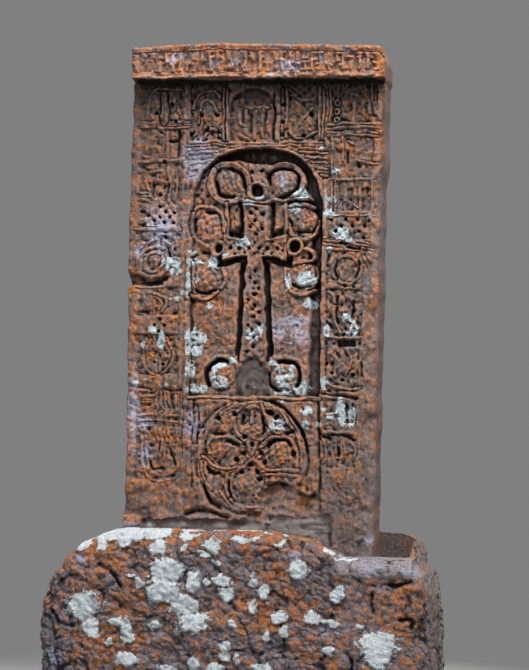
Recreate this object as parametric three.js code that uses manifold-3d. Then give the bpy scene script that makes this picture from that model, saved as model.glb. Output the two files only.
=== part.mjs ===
// A khachkar: an upright slab carved with a leafed cross under an arch, standing in the socket of a
// rough plinth block, with a small wedge stone at its left foot.
// Millimetres, +Z up. The carved face looks along -Y. The origin is the middle of the plinth's underside.
import * as THREE from "three";
import { mergeVertices } from "three/addons/utils/BufferGeometryUtils.js";
import Module from "manifold-3d";

const wasm = await Module();
wasm.setup();

// Driving dimensions of the plinth block.
const PLINTH_WIDTH = 1400;
const PLINTH_DEPTH = 700;
const PLINTH_HEIGHT = 600;
const SHOULDER_WIDTH = 306; // the worn left shoulder, as a quarter ellipse seen from the front
const SHOULDER_HEIGHT = 300;
const TOP_ROUNDING = 70;
// The worn right end, seen from the front: how far in from the end, and how far below the top.
const WORN_END = [[140, -1], [80, 32], [60, 68], [54, 104], [16, 140], [-1, 230]];
const LUMP = 34; // how deep the rough faces are hollowed
const LUMP_CELL = 150; // how far apart the hollows lie
const LUMP_FADE = 120; // the height over which they start above the underside

// Driving dimensions of the slab. Heights on its face are measured from the top of the plinth.
const SLAB_WIDTH = 910;
const SLAB_HEIGHT = 1740;
const SLAB_THICKNESS = 240;
const SLAB_X = 44; // the slab stands a little right of the plinth's middle
const SLAB_FRONT = -165;
const SLAB_BACK = SLAB_FRONT + SLAB_THICKNESS;
const TENON = 110; // the length that stands in the socket
const FOOT_FLARE = 20;
const RIGHT_WEAR = 15; // how far the right edge has worn back below WEAR_TOP
const WEAR_TOP = 1310;

// The socket and the lowered lip in front of its right end.
const SOCKET_PLAY = 20;
const SOCKET_RIGHT_GAP = 116;
const SOCKET_SEAT = 0.4;
const LIP_DROP = 78;
const LIP_START = 126;
const LIP_END = 378;

// The cornice.
const CORNICE_HEIGHT = 116;
const CORNICE_REACH = 70;
const CORNICE_OVERHANG = 8;
const CORNICE_UNDERCUT = 34;

// The arched niche and its frame.
const NICHE_HALF = 236;
const NICHE_SILL = 482;
const NICHE_SPRING = 1134;
const NICHE_DEPTH = 56;
const FRAME_STRIP = 26;
const SILL_STRIP = 18;

// The cross. Its axis is a little left of the slab's.
const CROSS_X = -8;
const CROSS_CENTRE = 1017;
const CROSS_RELIEF = 38;
const ARM_HALF = 38;
const ARM_FLARE = 62;
const ARM_REACH = 118;
const TOP_ARM_REACH = 165;
const STEM_FOOT = 606;
const STEM_TOP_HALF = 31;
const STEM_FOOT_HALF = 50;
const MOUND_HALF = 66;
const BUD_EYE = 20; // the round eye between each pair of buds

// The leaf buds: side offset from the cross axis, height, and radius.
const BUDS = [
  { side: 99, height: 1250, radius: 72 },
  { side: 178, height: 1108, radius: 64 },
  { side: 171, height: 916, radius: 60 },
  { side: 115, height: 551, radius: 56 },
];
const BUD_RELIEF = 34;
const BUD_BAND = 0.24; // the strap round a bud, as a share of the bud's radius
const LEAF_SHARE = 0.66;
const LEAF_LOBES = 5;

// The medallion under the niche.
const MEDALLION_X = -11;
const MEDALLION_HEIGHT = 263;
const MEDALLION_RADIUS = 203;
const MEDALLION_BAND = 32;
const MEDALLION_DEPTH = 20;
const LOOP_RADIUS = 62;
const LOOP_OFFSET = 104;

// The side borders: panels from top to bottom, each with its lower and upper edge and its motif.
const BORDER_INNER = NICHE_HALF + FRAME_STRIP;
const BORDER_OUTER = 443;
const BORDER_DEPTH = 14;
const BORDER_PANELS = [
  { low: 1424, high: 1604, motif: "cross" },
  { low: 1184, high: 1400, motif: "almond" },
  { low: 1092, high: 1174, motif: "plait" },
  { low: 906, high: 1072, motif: "ring" },
  { low: 776, high: 864, motif: "ring" },
  { low: 698, high: 768, motif: "plait" },
  { low: 530, high: 690, motif: "almond" },
  { low: 176, high: 486, motif: "cross" },
];

// The band of three panels between the cornice and the niche.
const BAND_LOW = 1406;
const BAND_HIGH = 1602;
const BAND_PANELS = [
  { left: -250, right: -116, motif: "ring", depth: BORDER_DEPTH },
  { left: -98, right: 54, motif: "cross", depth: 26 },
  { left: 74, right: 232, motif: "ring", depth: BORDER_DEPTH },
];

// Curve steps for each half circle, and how far relief is rooted in the stone behind it.
const STEPS = 9;
const ROOT = 6;

// Where the broken stone is: the bite out of the left edge, the spall under the medallion.
const BITE = { height: 884, rise: 20, width: 86, depth: 26 };
const SPALL = { x: 150, height: 78, width: 330, rise: 96, depth: 18 };

// A closed three.js geometry as a manifold solid.
function solidOf(geometry) {
  const bare = geometry.index ? geometry.toNonIndexed() : geometry.clone();
  bare.deleteAttribute("normal");
  bare.deleteAttribute("uv");
  const merged = mergeVertices(bare, 1e-3);
  const triVerts = new Uint32Array(merged.index.array);
  const vertProperties = merged.attributes.position.array;
  return new wasm.Manifold(new wasm.Mesh({ numProp: 3, vertProperties, triVerts }));
}

// A manifold solid as a three.js geometry.
function geometryOf(solid) {
  const made = solid.getMesh();
  const geometry = new THREE.BufferGeometry();
  geometry.setAttribute("position", new THREE.BufferAttribute(made.vertProperties, 3));
  geometry.setIndex(new THREE.BufferAttribute(made.triVerts, 1));
  return geometry;
}

// A shape drawn on the slab's face (x right, y up from the plinth's top), run from one y to another.
function throughFace(shape, yFront, yBack) {
  const depth = yBack - yFront;
  const geometry = new THREE.ExtrudeGeometry(shape, { depth, bevelEnabled: false, curveSegments: STEPS });
  geometry.rotateX(Math.PI / 2);
  geometry.translate(SLAB_X, yBack, PLINTH_HEIGHT);
  return solidOf(geometry);
}

// Stone cut away from the face to a depth, and stone left standing on a sunk ground.
const pocket = (shape, depth) => throughFace(shape, SLAB_FRONT - CORNICE_REACH, SLAB_FRONT + depth);
const relief = (shape, ground, height) =>
  throughFace(shape, SLAB_FRONT + ground - height, SLAB_FRONT + ground + ROOT);

// A profile drawn in the Y-Z plane, run along X.
function alongX(shape, xLow, xHigh) {
  const depth = xHigh - xLow;
  const geometry = new THREE.ExtrudeGeometry(shape, { depth, bevelEnabled: false, curveSegments: STEPS });
  const toWorld = new THREE.Matrix4().makeBasis(
    new THREE.Vector3(0, 1, 0),
    new THREE.Vector3(0, 0, 1),
    new THREE.Vector3(1, 0, 0),
  );
  geometry.applyMatrix4(toWorld);
  geometry.translate(xLow, 0, 0);
  return solidOf(geometry);
}

function polygon(...points) {
  return new THREE.Shape(points.map(([x, y]) => new THREE.Vector2(x, y)));
}

function rectangle(left, right, low, high) {
  return polygon([left, low], [right, low], [right, high], [left, high]);
}

function disc(x, y, radius) {
  return new THREE.Shape().absarc(x, y, radius, 0, 2 * Math.PI);
}

function ring(x, y, outer, inner) {
  const shape = disc(x, y, outer);
  shape.holes.push(new THREE.Path().absarc(x, y, inner, 0, 2 * Math.PI, true));
  return shape;
}

// A round-headed opening.
function archShape(x, half, low, spring) {
  const shape = new THREE.Shape().moveTo(x - half, low).lineTo(x + half, low).lineTo(x + half, spring);
  shape.absarc(x, spring, half, 0, Math.PI);
  return shape;
}

// A leaf with a scalloped edge.
function leafShape(x, y, radius) {
  const scallop = 0.16;
  const stepsPerLobe = 4;
  const count = LEAF_LOBES * stepsPerLobe;
  const points = [];
  for (let i = 0; i < count; i += 1) {
    const angle = (2 * Math.PI * i) / count;
    const reach = radius * (1 - scallop * (1 - Math.cos(LEAF_LOBES * angle)));
    points.push([x + reach * Math.sin(angle), y + reach * Math.cos(angle)]);
  }
  return polygon(...points);
}

// An upright almond made of two arcs, given as quadratic curves.
function almondPath(path, x, low, high, half) {
  const middle = (low + high) / 2;
  path.moveTo(x, low);
  path.quadraticCurveTo(x + 2 * half, middle, x, high);
  path.quadraticCurveTo(x - 2 * half, middle, x, low);
  return path;
}

// A cross with straight arms, the upright set on a longer foot.
function plainCross(x, low, high, half, bar) {
  const crossing = low + 0.62 * (high - low);
  const h = bar / 2;
  return polygon(
    [x - h, low], [x + h, low], [x + h, crossing - h], [x + half, crossing - h],
    [x + half, crossing + h], [x + h, crossing + h], [x + h, high], [x - h, high],
    [x - h, crossing + h], [x - half, crossing + h], [x - half, crossing - h], [x - h, crossing - h],
  );
}

// The great cross: flared arms and a stem that widens to its foot.
function greatCross() {
  const x = CROSS_X;
  const y = CROSS_CENTRE;
  const shape = new THREE.Shape().moveTo(x - STEM_FOOT_HALF, STEM_FOOT).lineTo(x + STEM_FOOT_HALF, STEM_FOOT);
  shape.lineTo(x + STEM_TOP_HALF, y - ARM_HALF);
  shape.quadraticCurveTo(x + ARM_REACH / 2, y - ARM_HALF, x + ARM_REACH, y - ARM_FLARE);
  shape.lineTo(x + ARM_REACH, y + ARM_FLARE);
  shape.quadraticCurveTo(x + ARM_REACH / 2, y + ARM_HALF, x + ARM_HALF, y + ARM_HALF);
  shape.quadraticCurveTo(x + ARM_HALF, y + TOP_ARM_REACH / 2, x + ARM_FLARE, y + TOP_ARM_REACH);
  shape.lineTo(x - ARM_FLARE, y + TOP_ARM_REACH);
  shape.quadraticCurveTo(x - ARM_HALF, y + TOP_ARM_REACH / 2, x - ARM_HALF, y + ARM_HALF);
  shape.quadraticCurveTo(x - ARM_REACH / 2, y + ARM_HALF, x - ARM_REACH, y + ARM_FLARE);
  shape.lineTo(x - ARM_REACH, y - ARM_FLARE);
  shape.quadraticCurveTo(x - ARM_REACH / 2, y - ARM_HALF, x - STEM_TOP_HALF, y - ARM_HALF);
  return shape;
}

// A strap ring with a leaf in it.
function budShapes(x, y, radius) {
  return [ring(x, y, radius, radius * (1 - BUD_BAND)), leafShape(x, y, radius * LEAF_SHARE)];
}

// The motif of one border or band panel, as shapes to leave standing on the panel's ground.
function motifShapes(motif, left, right, low, high) {
  const x = (left + right) / 2;
  const y = (low + high) / 2;
  const half = (right - left) / 2;
  const rise = (high - low) / 2;
  const strap = 15;
  if (motif === "cross") {
    return [plainCross(x, low - ROOT, high - 14, half * 0.72, 26)];
  }
  if (motif === "ring") {
    const radius = Math.min(half, rise) * 0.92;
    return [ring(x, y, radius, radius - strap), leafShape(x, y, radius * 0.5)];
  }
  if (motif === "almond") {
    const shape = almondPath(new THREE.Shape(), x, low + 4, high - 4, half * 0.78);
    shape.holes.push(almondPath(new THREE.Path(), x, low + 4 + 2 * strap, high - 4 - 2 * strap, half * 0.55));
    return [shape, leafShape(x, y, half * 0.3)];
  }
  return [];
}

// Rows of small square holes set cornerwise, as between the strands of a plait.
function plaitHoles(left, right, low, high) {
  const pitch = 36;
  const half = 9;
  const columns = Math.floor((right - left) / pitch);
  const rows = Math.floor((2 * (high - low)) / pitch);
  const shapes = [];
  for (let row = 1; row < rows; row += 1) {
    for (let column = 0; column < columns; column += 1) {
      const x = (left + right) / 2 + (column - (columns - 1) / 2 + (row % 2 ? 0.25 : -0.25)) * pitch;
      const y = low + (row * (high - low)) / rows;
      shapes.push(polygon([x - half, y], [x, y - half], [x + half, y], [x, y + half]));
    }
  }
  return shapes;
}

// The front outline of the slab: a flared left foot, and a right edge worn back below WEAR_TOP.
function slabOutline() {
  const half = SLAB_WIDTH / 2;
  const flareTop = 90;
  return polygon(
    [-half - FOOT_FLARE, -TENON], [half - RIGHT_WEAR, -TENON], [half - RIGHT_WEAR * 0.8, WEAR_TOP * 0.5],
    [half - RIGHT_WEAR * 0.5, WEAR_TOP - 40], [half, WEAR_TOP], [half, SLAB_HEIGHT],
    [-half, SLAB_HEIGHT], [-half, flareTop], [-half - FOOT_FLARE, flareTop / 3],
  );
}

// The cornice's profile: an undercut soffit and a face that leans out to its top edge.
function corniceProfile() {
  const top = PLINTH_HEIGHT + SLAB_HEIGHT;
  const low = top - CORNICE_HEIGHT;
  const lean = 8;
  const rounding = 10;
  return polygon(
    [SLAB_FRONT + ROOT, low - CORNICE_UNDERCUT / 2], [SLAB_FRONT + ROOT, top],
    [SLAB_FRONT - CORNICE_REACH + rounding, top], [SLAB_FRONT - CORNICE_REACH, top - rounding],
    [SLAB_FRONT - CORNICE_REACH + lean, low], [SLAB_FRONT - CORNICE_REACH / 2, low + ROOT],
  );
}

function addBorders(slab) {
  let made = slab;
  for (const side of [-1, 1]) {
    const left = side < 0 ? -BORDER_OUTER : BORDER_INNER;
    const right = side < 0 ? -BORDER_INNER : BORDER_OUTER;
    for (const { low, high, motif } of BORDER_PANELS) {
      if (motif === "plait") {
        for (const hole of plaitHoles(left, right, low, high)) {
          made = made.subtract(pocket(hole, BORDER_DEPTH));
        }
      } else {
        made = made.subtract(pocket(rectangle(left, right, low, high), BORDER_DEPTH));
      }
      for (const shape of motifShapes(motif, left, right, low, high)) {
        made = made.add(relief(shape, BORDER_DEPTH, BORDER_DEPTH - 2));
      }
    }
  }
  return made;
}

function addBand(slab) {
  let made = slab;
  for (const { left, right, motif, depth } of BAND_PANELS) {
    const half = (right - left) / 2;
    const opening =
      motif === "cross"
        ? archShape((left + right) / 2, half, BAND_LOW, BAND_HIGH - half)
        : rectangle(left, right, BAND_LOW, BAND_HIGH);
    made = made.subtract(pocket(opening, depth));
    for (const shape of motifShapes(motif, left, right, BAND_LOW, BAND_HIGH - 24)) {
      made = made.add(relief(shape, depth, depth - 6));
    }
  }
  return made;
}

// The worn mound that the cross stands on.
function moundShape() {
  const low = NICHE_SILL - ROOT;
  const bulge = MOUND_HALF - 4;
  const mound = new THREE.Shape().moveTo(CROSS_X - MOUND_HALF, low).lineTo(CROSS_X + MOUND_HALF, low);
  mound.quadraticCurveTo(CROSS_X + bulge, STEM_FOOT, CROSS_X, STEM_FOOT + ROOT);
  mound.quadraticCurveTo(CROSS_X - bulge, STEM_FOOT, CROSS_X - MOUND_HALF, low);
  return mound;
}

function addNiche(slab) {
  let made = slab.subtract(pocket(archShape(0, NICHE_HALF, NICHE_SILL, NICHE_SPRING), NICHE_DEPTH));
  made = made.add(relief(greatCross(), NICHE_DEPTH, CROSS_RELIEF));
  for (const { side, height, radius } of BUDS) {
    for (const x of [CROSS_X - side, CROSS_X + side]) {
      for (const shape of budShapes(x, height, radius)) {
        made = made.add(relief(shape, NICHE_DEPTH, BUD_RELIEF));
      }
    }
  }
  made = made.add(relief(moundShape(), NICHE_DEPTH, CROSS_RELIEF - 8));
  const eyes = [
    [CROSS_X, CROSS_CENTRE + TOP_ARM_REACH + 42],
    [CROSS_X - ARM_REACH - 24, CROSS_CENTRE],
    [CROSS_X + ARM_REACH + 24, CROSS_CENTRE],
  ];
  for (const [x, y] of eyes) {
    made = made.add(relief(ring(x, y, BUD_EYE + 12, BUD_EYE), NICHE_DEPTH, BUD_RELIEF));
  }
  return made;
}

function addMedallion(slab) {
  const x = MEDALLION_X;
  const y = MEDALLION_HEIGHT;
  const inner = MEDALLION_RADIUS - MEDALLION_BAND;
  let made = slab.subtract(pocket(disc(x, y, inner), MEDALLION_DEPTH));
  made = made.subtract(pocket(ring(x, y, MEDALLION_RADIUS + 12, MEDALLION_RADIUS), MEDALLION_DEPTH * 0.6));
  for (let quarter = 0; quarter < 4; quarter += 1) {
    const angle = (quarter * Math.PI) / 2;
    const loopX = x + LOOP_OFFSET * Math.cos(angle);
    const loopY = y + LOOP_OFFSET * Math.sin(angle);
    for (const shape of budShapes(loopX, loopY, LOOP_RADIUS)) {
      made = made.add(relief(shape, MEDALLION_DEPTH, MEDALLION_DEPTH - 3));
    }
    const between = angle + Math.PI / 4;
    const leafReach = inner - 44;
    const leaf = leafShape(x + leafReach * Math.cos(between), y + leafReach * Math.sin(between), 36);
    made = made.add(relief(leaf, MEDALLION_DEPTH, MEDALLION_DEPTH - 5));
  }
  return made.add(relief(ring(x, y, 46, 22), MEDALLION_DEPTH, MEDALLION_DEPTH - 4));
}

// A ragged hollow, as a squashed low-poly ball set into the stone.
function hollow(x, y, z, halfX, halfY, halfZ) {
  const geometry = new THREE.IcosahedronGeometry(1, 1);
  geometry.scale(halfX, halfY, halfZ);
  geometry.translate(x, y, z);
  return solidOf(geometry);
}

function carvedSlab() {
  const half = SLAB_WIDTH / 2;
  let made = throughFace(slabOutline(), SLAB_FRONT, SLAB_BACK);
  made = made.add(
    alongX(corniceProfile(), SLAB_X - half - CORNICE_OVERHANG, SLAB_X + half + CORNICE_OVERHANG),
  );
  made = addMedallion(addNiche(addBand(addBorders(made))));
  const sill = rectangle(-NICHE_HALF, NICHE_HALF, NICHE_SILL - SILL_STRIP, NICHE_SILL);
  made = made.add(relief(sill, MEDALLION_DEPTH, MEDALLION_DEPTH));
  const biteZ = PLINTH_HEIGHT + BITE.height;
  made = made.subtract(hollow(SLAB_X - half, SLAB_FRONT, biteZ, BITE.width, BITE.depth, BITE.rise));
  const spallZ = PLINTH_HEIGHT + SPALL.height;
  return made.subtract(
    hollow(SLAB_X + SPALL.x, SLAB_FRONT, spallZ, SPALL.width / 2, SPALL.depth, SPALL.rise),
  );
}

// A repeatable number from 0 to 1 for one corner of the lattice that the lumps hang on.
function latticeValue(i, j, k) {
  const mixed = Math.sin(i * 127.1 + j * 311.7 + k * 74.7) * 43758.5453;
  return mixed - Math.floor(mixed);
}

// How far a rough face swells at a place, in millimetres: lattice values blended between their corners.
function lumpAt(x, y, z, cell) {
  const place = [x / cell, y / cell, z / cell];
  const corner = place.map(Math.floor);
  const blend = place.map((p, axis) => THREE.MathUtils.smoothstep(p - corner[axis], 0, 1));
  let sum = 0;
  for (let n = 0; n < 8; n += 1) {
    const step = [n & 1, (n >> 1) & 1, (n >> 2) & 1];
    const weight = step.reduce((w, s, axis) => w * (s ? blend[axis] : 1 - blend[axis]), 1);
    sum += weight * latticeValue(corner[0] + step[0], corner[1] + step[1], corner[2] + step[2]);
  }
  return sum;
}

// The plinth's height at a place along its width: full, but falling over the left shoulder.
function plinthHeightAt(x) {
  const shoulder = -PLINTH_WIDTH / 2 + SHOULDER_WIDTH;
  if (x >= shoulder) return PLINTH_HEIGHT;
  const t = (shoulder - x) / SHOULDER_WIDTH;
  return PLINTH_HEIGHT - SHOULDER_HEIGHT * (1 - Math.sqrt(Math.max(0, 1 - t * t)));
}

// One cross-section of the plinth, as points round it from the back underside edge forwards.
function plinthSection(x, endShare) {
  const sideSteps = 5;
  const cornerSteps = 4;
  const topSteps = 5;
  const height = plinthHeightAt(x);
  const half = (PLINTH_DEPTH / 2) * endShare;
  const r = TOP_ROUNDING;
  const ringPoints = [];
  for (let i = 0; i <= sideSteps; i += 1) ringPoints.push([-half, ((height - r) * i) / sideSteps]);
  for (let i = 1; i <= cornerSteps; i += 1) {
    const a = (i / cornerSteps) * (Math.PI / 2);
    ringPoints.push([-half + r - r * Math.cos(a), height - r + r * Math.sin(a)]);
  }
  for (let i = 1; i < topSteps; i += 1) {
    ringPoints.push([-half + r + (2 * (half - r) * i) / topSteps, height]);
  }
  const front = ringPoints.slice(0, sideSteps + cornerSteps + 1);
  for (const [y, z] of front.reverse()) ringPoints.push([-y, z]);
  return ringPoints.map(([y, z]) => {
    if (z > height - 1) return new THREE.Vector3(x, y, z);
    const hollowed = LUMP * Math.min(1, z / LUMP_FADE) * lumpAt(x, y, z, LUMP_CELL);
    return new THREE.Vector3(x, y - Math.sign(y) * hollowed, z);
  });
}

// A closed skin over cross-sections that all have the same number of points, with flat ends.
function loft(sections) {
  const count = sections[0].length;
  const positions = [];
  const face = (a, b, c) => positions.push(...a.toArray(), ...b.toArray(), ...c.toArray());
  for (let s = 0; s + 1 < sections.length; s += 1) {
    for (let i = 0; i < count; i += 1) {
      const j = (i + 1) % count;
      const [a, b, c, d] = [sections[s][i], sections[s + 1][i], sections[s + 1][j], sections[s][j]];
      if (a.distanceTo(c) < b.distanceTo(d)) {
        face(a, b, c);
        face(a, c, d);
      } else {
        face(a, b, d);
        face(d, b, c);
      }
    }
  }
  const middleOf = (points) =>
    points.reduce((sum, p) => sum.add(p), new THREE.Vector3()).divideScalar(points.length);
  const first = sections[0];
  const last = sections[sections.length - 1];
  const firstMiddle = middleOf(first);
  const lastMiddle = middleOf(last);
  for (let i = 0; i < count; i += 1) {
    const j = (i + 1) % count;
    face(firstMiddle, first[i], first[j]);
    face(lastMiddle, last[j], last[i]);
  }
  const geometry = new THREE.BufferGeometry();
  geometry.setAttribute("position", new THREE.Float32BufferAttribute(positions, 3));
  return geometry;
}

function plinthBlock() {
  const stations = 22;
  const endTaper = 0.12; // how much shallower the block is at its two ends
  const sections = [];
  for (let i = 0; i <= stations; i += 1) {
    const share = (1 - Math.cos((Math.PI * i) / stations)) / 2;
    const x = PLINTH_WIDTH * (share - 0.5);
    const endShare = 1 - endTaper * Math.abs(2 * share - 1) ** 6;
    sections.push(plinthSection(x, endShare));
  }
  const half = SLAB_WIDTH / 2;
  const socketLeft = SLAB_X - half - FOOT_FLARE - SOCKET_PLAY;
  const socketRight = SLAB_X + half + SOCKET_RIGHT_GAP;
  const socketFront = SLAB_FRONT - SOCKET_PLAY;
  const socketBack = SLAB_BACK + SOCKET_PLAY;
  const floor = PLINTH_HEIGHT - TENON - SOCKET_SEAT;
  const above = PLINTH_HEIGHT + TOP_ROUNDING;
  const socketProfile = polygon(
    [socketFront, floor], [socketBack, floor], [socketBack, above], [socketFront, above],
  );
  const lip = PLINTH_HEIGHT - LIP_DROP;
  const beyond = PLINTH_WIDTH / 2 + TOP_ROUNDING;
  const lipProfile = polygon(
    [LIP_START, PLINTH_HEIGHT + 1], [LIP_END - 90, PLINTH_HEIGHT - LIP_DROP * 0.45], [LIP_END, lip],
    [beyond, lip - 8], [beyond, above], [LIP_START, above],
  );
  const lipDepth = socketFront + PLINTH_DEPTH;
  const lipGeometry = new THREE.ExtrudeGeometry(lipProfile, { depth: lipDepth, bevelEnabled: false });
  lipGeometry.rotateX(Math.PI / 2);
  lipGeometry.translate(0, socketFront + 1, 0);
  const end = PLINTH_WIDTH / 2;
  const endProfile = polygon(
    ...WORN_END.map(([inwards, drop]) => [end - inwards, PLINTH_HEIGHT - drop]), [end + 1, above],
  );
  const endGeometry = new THREE.ExtrudeGeometry(endProfile, { depth: PLINTH_DEPTH, bevelEnabled: false });
  endGeometry.rotateX(Math.PI / 2);
  endGeometry.translate(0, PLINTH_DEPTH / 2, 0);
  return solidOf(loft(sections))
    .subtract(alongX(socketProfile, socketLeft, socketRight))
    .subtract(solidOf(lipGeometry))
    .subtract(solidOf(endGeometry));
}

// A small chipped stone, flat below, pushed against the slab's left foot.
function wedgeStone() {
  const halfX = 38;
  const halfY = 32;
  const height = 44;
  const gap = 0.4;
  const x = SLAB_X - SLAB_WIDTH / 2 + 26;
  const y = SLAB_FRONT - halfY - 4;
  const seat = PLINTH_HEIGHT + gap;
  const geometry = new THREE.IcosahedronGeometry(1, 1);
  geometry.scale(halfX * 1.1, halfY, height);
  geometry.rotateZ(0.5);
  geometry.translate(x, y, seat);
  const keep = new THREE.BoxGeometry(4 * halfX, 2 * halfY, height);
  keep.translate(x, y, seat + height / 2);
  return solidOf(geometry).intersect(solidOf(keep));
}

// One named mesh of stone.
function stoneMesh(name, solid, colour) {
  const material = new THREE.MeshStandardMaterial({ color: colour, roughness: 0.92, metalness: 0 });
  const mesh = new THREE.Mesh(geometryOf(solid), material);
  mesh.name = name;
  return mesh;
}

const khachkar = new THREE.Group();
khachkar.add(stoneMesh("cross_slab", carvedSlab(), 0x8a6450));
khachkar.add(stoneMesh("plinth_block", plinthBlock(), 0x80695f));
khachkar.add(stoneMesh("wedge_stone", wedgeStone(), 0xa86a3c));

export default khachkar;
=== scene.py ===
import math

import bpy
import numpy as np
from mathutils import Matrix, Vector


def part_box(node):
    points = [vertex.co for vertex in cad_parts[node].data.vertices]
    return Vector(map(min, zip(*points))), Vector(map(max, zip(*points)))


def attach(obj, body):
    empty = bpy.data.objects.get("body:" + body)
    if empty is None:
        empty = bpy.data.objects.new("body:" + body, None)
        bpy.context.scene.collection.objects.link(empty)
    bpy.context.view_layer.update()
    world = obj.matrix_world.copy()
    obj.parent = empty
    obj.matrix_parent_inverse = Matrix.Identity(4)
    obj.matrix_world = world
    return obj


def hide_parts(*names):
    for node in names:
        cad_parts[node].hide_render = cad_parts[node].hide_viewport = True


bl_info = {
    "name": "Khachkar",
    "version": (1, 0, 0),
    "blender": (4, 5, 0),
    "location": "View3D > Sidebar > Khachkar",
    "description": "Carves a weathered cross slab, its rough plinth and a wedge stone on a plain stage",
    "category": "Object",
}

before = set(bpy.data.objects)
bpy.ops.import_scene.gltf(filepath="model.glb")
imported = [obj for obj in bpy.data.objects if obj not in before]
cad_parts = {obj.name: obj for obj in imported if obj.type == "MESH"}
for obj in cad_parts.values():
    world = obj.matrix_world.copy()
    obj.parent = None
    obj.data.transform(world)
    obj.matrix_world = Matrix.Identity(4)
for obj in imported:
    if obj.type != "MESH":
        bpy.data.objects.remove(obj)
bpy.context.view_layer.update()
SLAB_LOW, SLAB_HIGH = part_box("cross_slab")
_, PLINTH_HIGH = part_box("plinth_block")
WEDGE_LOW, WEDGE_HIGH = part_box("wedge_stone")

MM = 0.001
# The photograph's height in pixels, what one pixel spans on the slab's face, and the camera's sensor in
# millimetres.
PHOTO_HEIGHT = 670
PIXEL = 3.6 * MM
SENSOR = 36.0
# Faces that meet at less than this are shaded as one.
SHADING_ANGLE = math.radians(48)

# The slab's face is carved in millimetres: u runs right from its axis, v up from the plinth's top,
# and height out of the dressed face, so a cut has a height below nought.
FACE_HALF = 455.0
FACE_LOW = -105.0
FACE_TOP = 1740.0
CORNICE_LOW = 1624.0
# How far the cornice stands out at its top, how far past the slab's right edge, and how far its face leans.
CORNICE_REACH = 70.0
CORNICE_OVERHANG = 8.0
CORNICE_LEAN = 8.0
SLAB_AXIS = SLAB_HIGH.x - (FACE_HALF + CORNICE_OVERHANG) * MM
SLAB_FRONT = SLAB_LOW.y + CORNICE_REACH * MM
SLAB_THICKNESS = (SLAB_HIGH.y - SLAB_FRONT) / MM
PLINTH_TOP = PLINTH_HIGH.z

# The niche and the cross in it.
NICHE_HALF = 236.0
NICHE_SILL = 482.0
NICHE_SPRING = 1134.0
NICHE_RISE = 246.0
ARCH_FULLNESS = 2.4
NICHE_GROUND = -58.0
FIELD_TOP = -23.0
FIELD_ASIDE = 42.0
FIELD_DROP = 46.0
CROSS_AXIS = -8.0
CROSS_CENTRE = 1017.0
CROSS_TOP = -13.0
STEM_FOOT = 612.0
BUD_TOP = -14.0
MEDALLION_AXIS = -7.0
MEDALLION_CENTRE = 262.0
MEDALLION_RADIUS = 205.0

# How far behind the dressed face the slab's plain sides start, and behind the cornice's face.
BODY_SET_BACK = 34.0
CORNICE_SET_BACK = 24.0

# The most that a pale patch comes to, so that it stays ragged right to its middle.
SLAB_PALE_MOST = 0.64
PLINTH_PALE_MOST = 0.74

# Lichen patches on the slab's face: u, v, half width, half height.
SLAB_PALE = (
    (-50, 1035, 20, 20), (160, 1210, 30, 20), (135, 1160, 20, 15), (-35, 1180, 20, 10), (5, 1200, 15, 10),
    (250, 1175, 5, 45), (275, 1190, 20, 10), (265, 1140, 20, 15), (230, 1375, 10, 10), (285, 1295, 15, 10),
    (310, 1070, 30, 20), (335, 1045, 10, 10), (265, 1010, 10, 10), (180, 905, 30, 30), (115, 890, 10, 30),
    (-230, 965, 25, 15), (-160, 965, 20, 20), (-235, 995, 15, 10), (-115, 990, 10, 5), (-310, 960, 30, 25),
    (-295, 930, 20, 15), (-250, 885, 10, 45), (-220, 900, 10, 10), (-290, 830, 20, 10), (-260, 850, 15, 10),
    (-170, 805, 10, 10), (-230, 690, 30, 30), (-205, 685, 25, 25), (-225, 640, 30, 20), (-235, 575, 15, 30),
    (-210, 500, 35, 15), (-150, 560, 10, 45), (-125, 590, 20, 10), (-120, 540, 20, 10), (-140, 515, 20, 10),
    (-95, 605, 25, 10), (-110, 520, 15, 10), (-15, 700, 20, 20), (20, 725, 10, 20), (70, 600, 20, 10),
    (90, 575, 15, 10), (100, 545, 25, 15), (130, 555, 10, 20), (105, 520, 25, 10), (140, 590, 10, 10),
    (170, 510, 30, 25), (105, 495, 35, 10), (195, 430, 20, 15), (190, 380, 15, 15), (240, 380, 10, 15),
    (95, 460, 15, 5), (90, 380, 25, 20), (60, 355, 10, 5), (360, 725, 20, 25), (330, 765, 15, 15),
    (260, 720, 10, 20), (315, 445, 15, 30), (325, 400, 15, 25), (355, 420, 15, 40), (255, 435, 10, 10),
    (280, 410, 15, 10), (255, 535, 15, 15), (260, 510, 10, 5), (-375, 715, 20, 15), (-345, 675, 15, 30),
    (-415, 660, 10, 10), (-400, 530, 10, 5), (-435, 520, 10, 10), (-320, 515, 10, 5), (200, 815, 25, 20),
    (-375, 5, 20, 10),
)
SLAB_LILAC = (
    (-220, 1325, 40, 45), (-235, 1275, 30, 25), (-335, 1075, 45, 20), (-355, 1050, 30, 15),
    (-425, 1000, 20, 30), (135, 750, 60, 20), (160, 700, 35, 35), (80, 715, 20, 35), (-415, 380, 30, 30),
    (-220, 365, 25, 45), (-285, 1705, 20, 10), (-310, 1690, 20, 15), (115, 1665, 35, 20),
    (-80, 1680, 10, 10), (-155, 1680, 15, 15), (55, 1635, 20, 5), (-215, 1405, 30, 15), (430, -25, 20, 20),
    (90, 1255, 15, 30), (-395, 260, 20, 35), (-350, 1075, 55, 85), (-440, 410, 15, 130),
    (-215, 1340, 60, 50),
)

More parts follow.
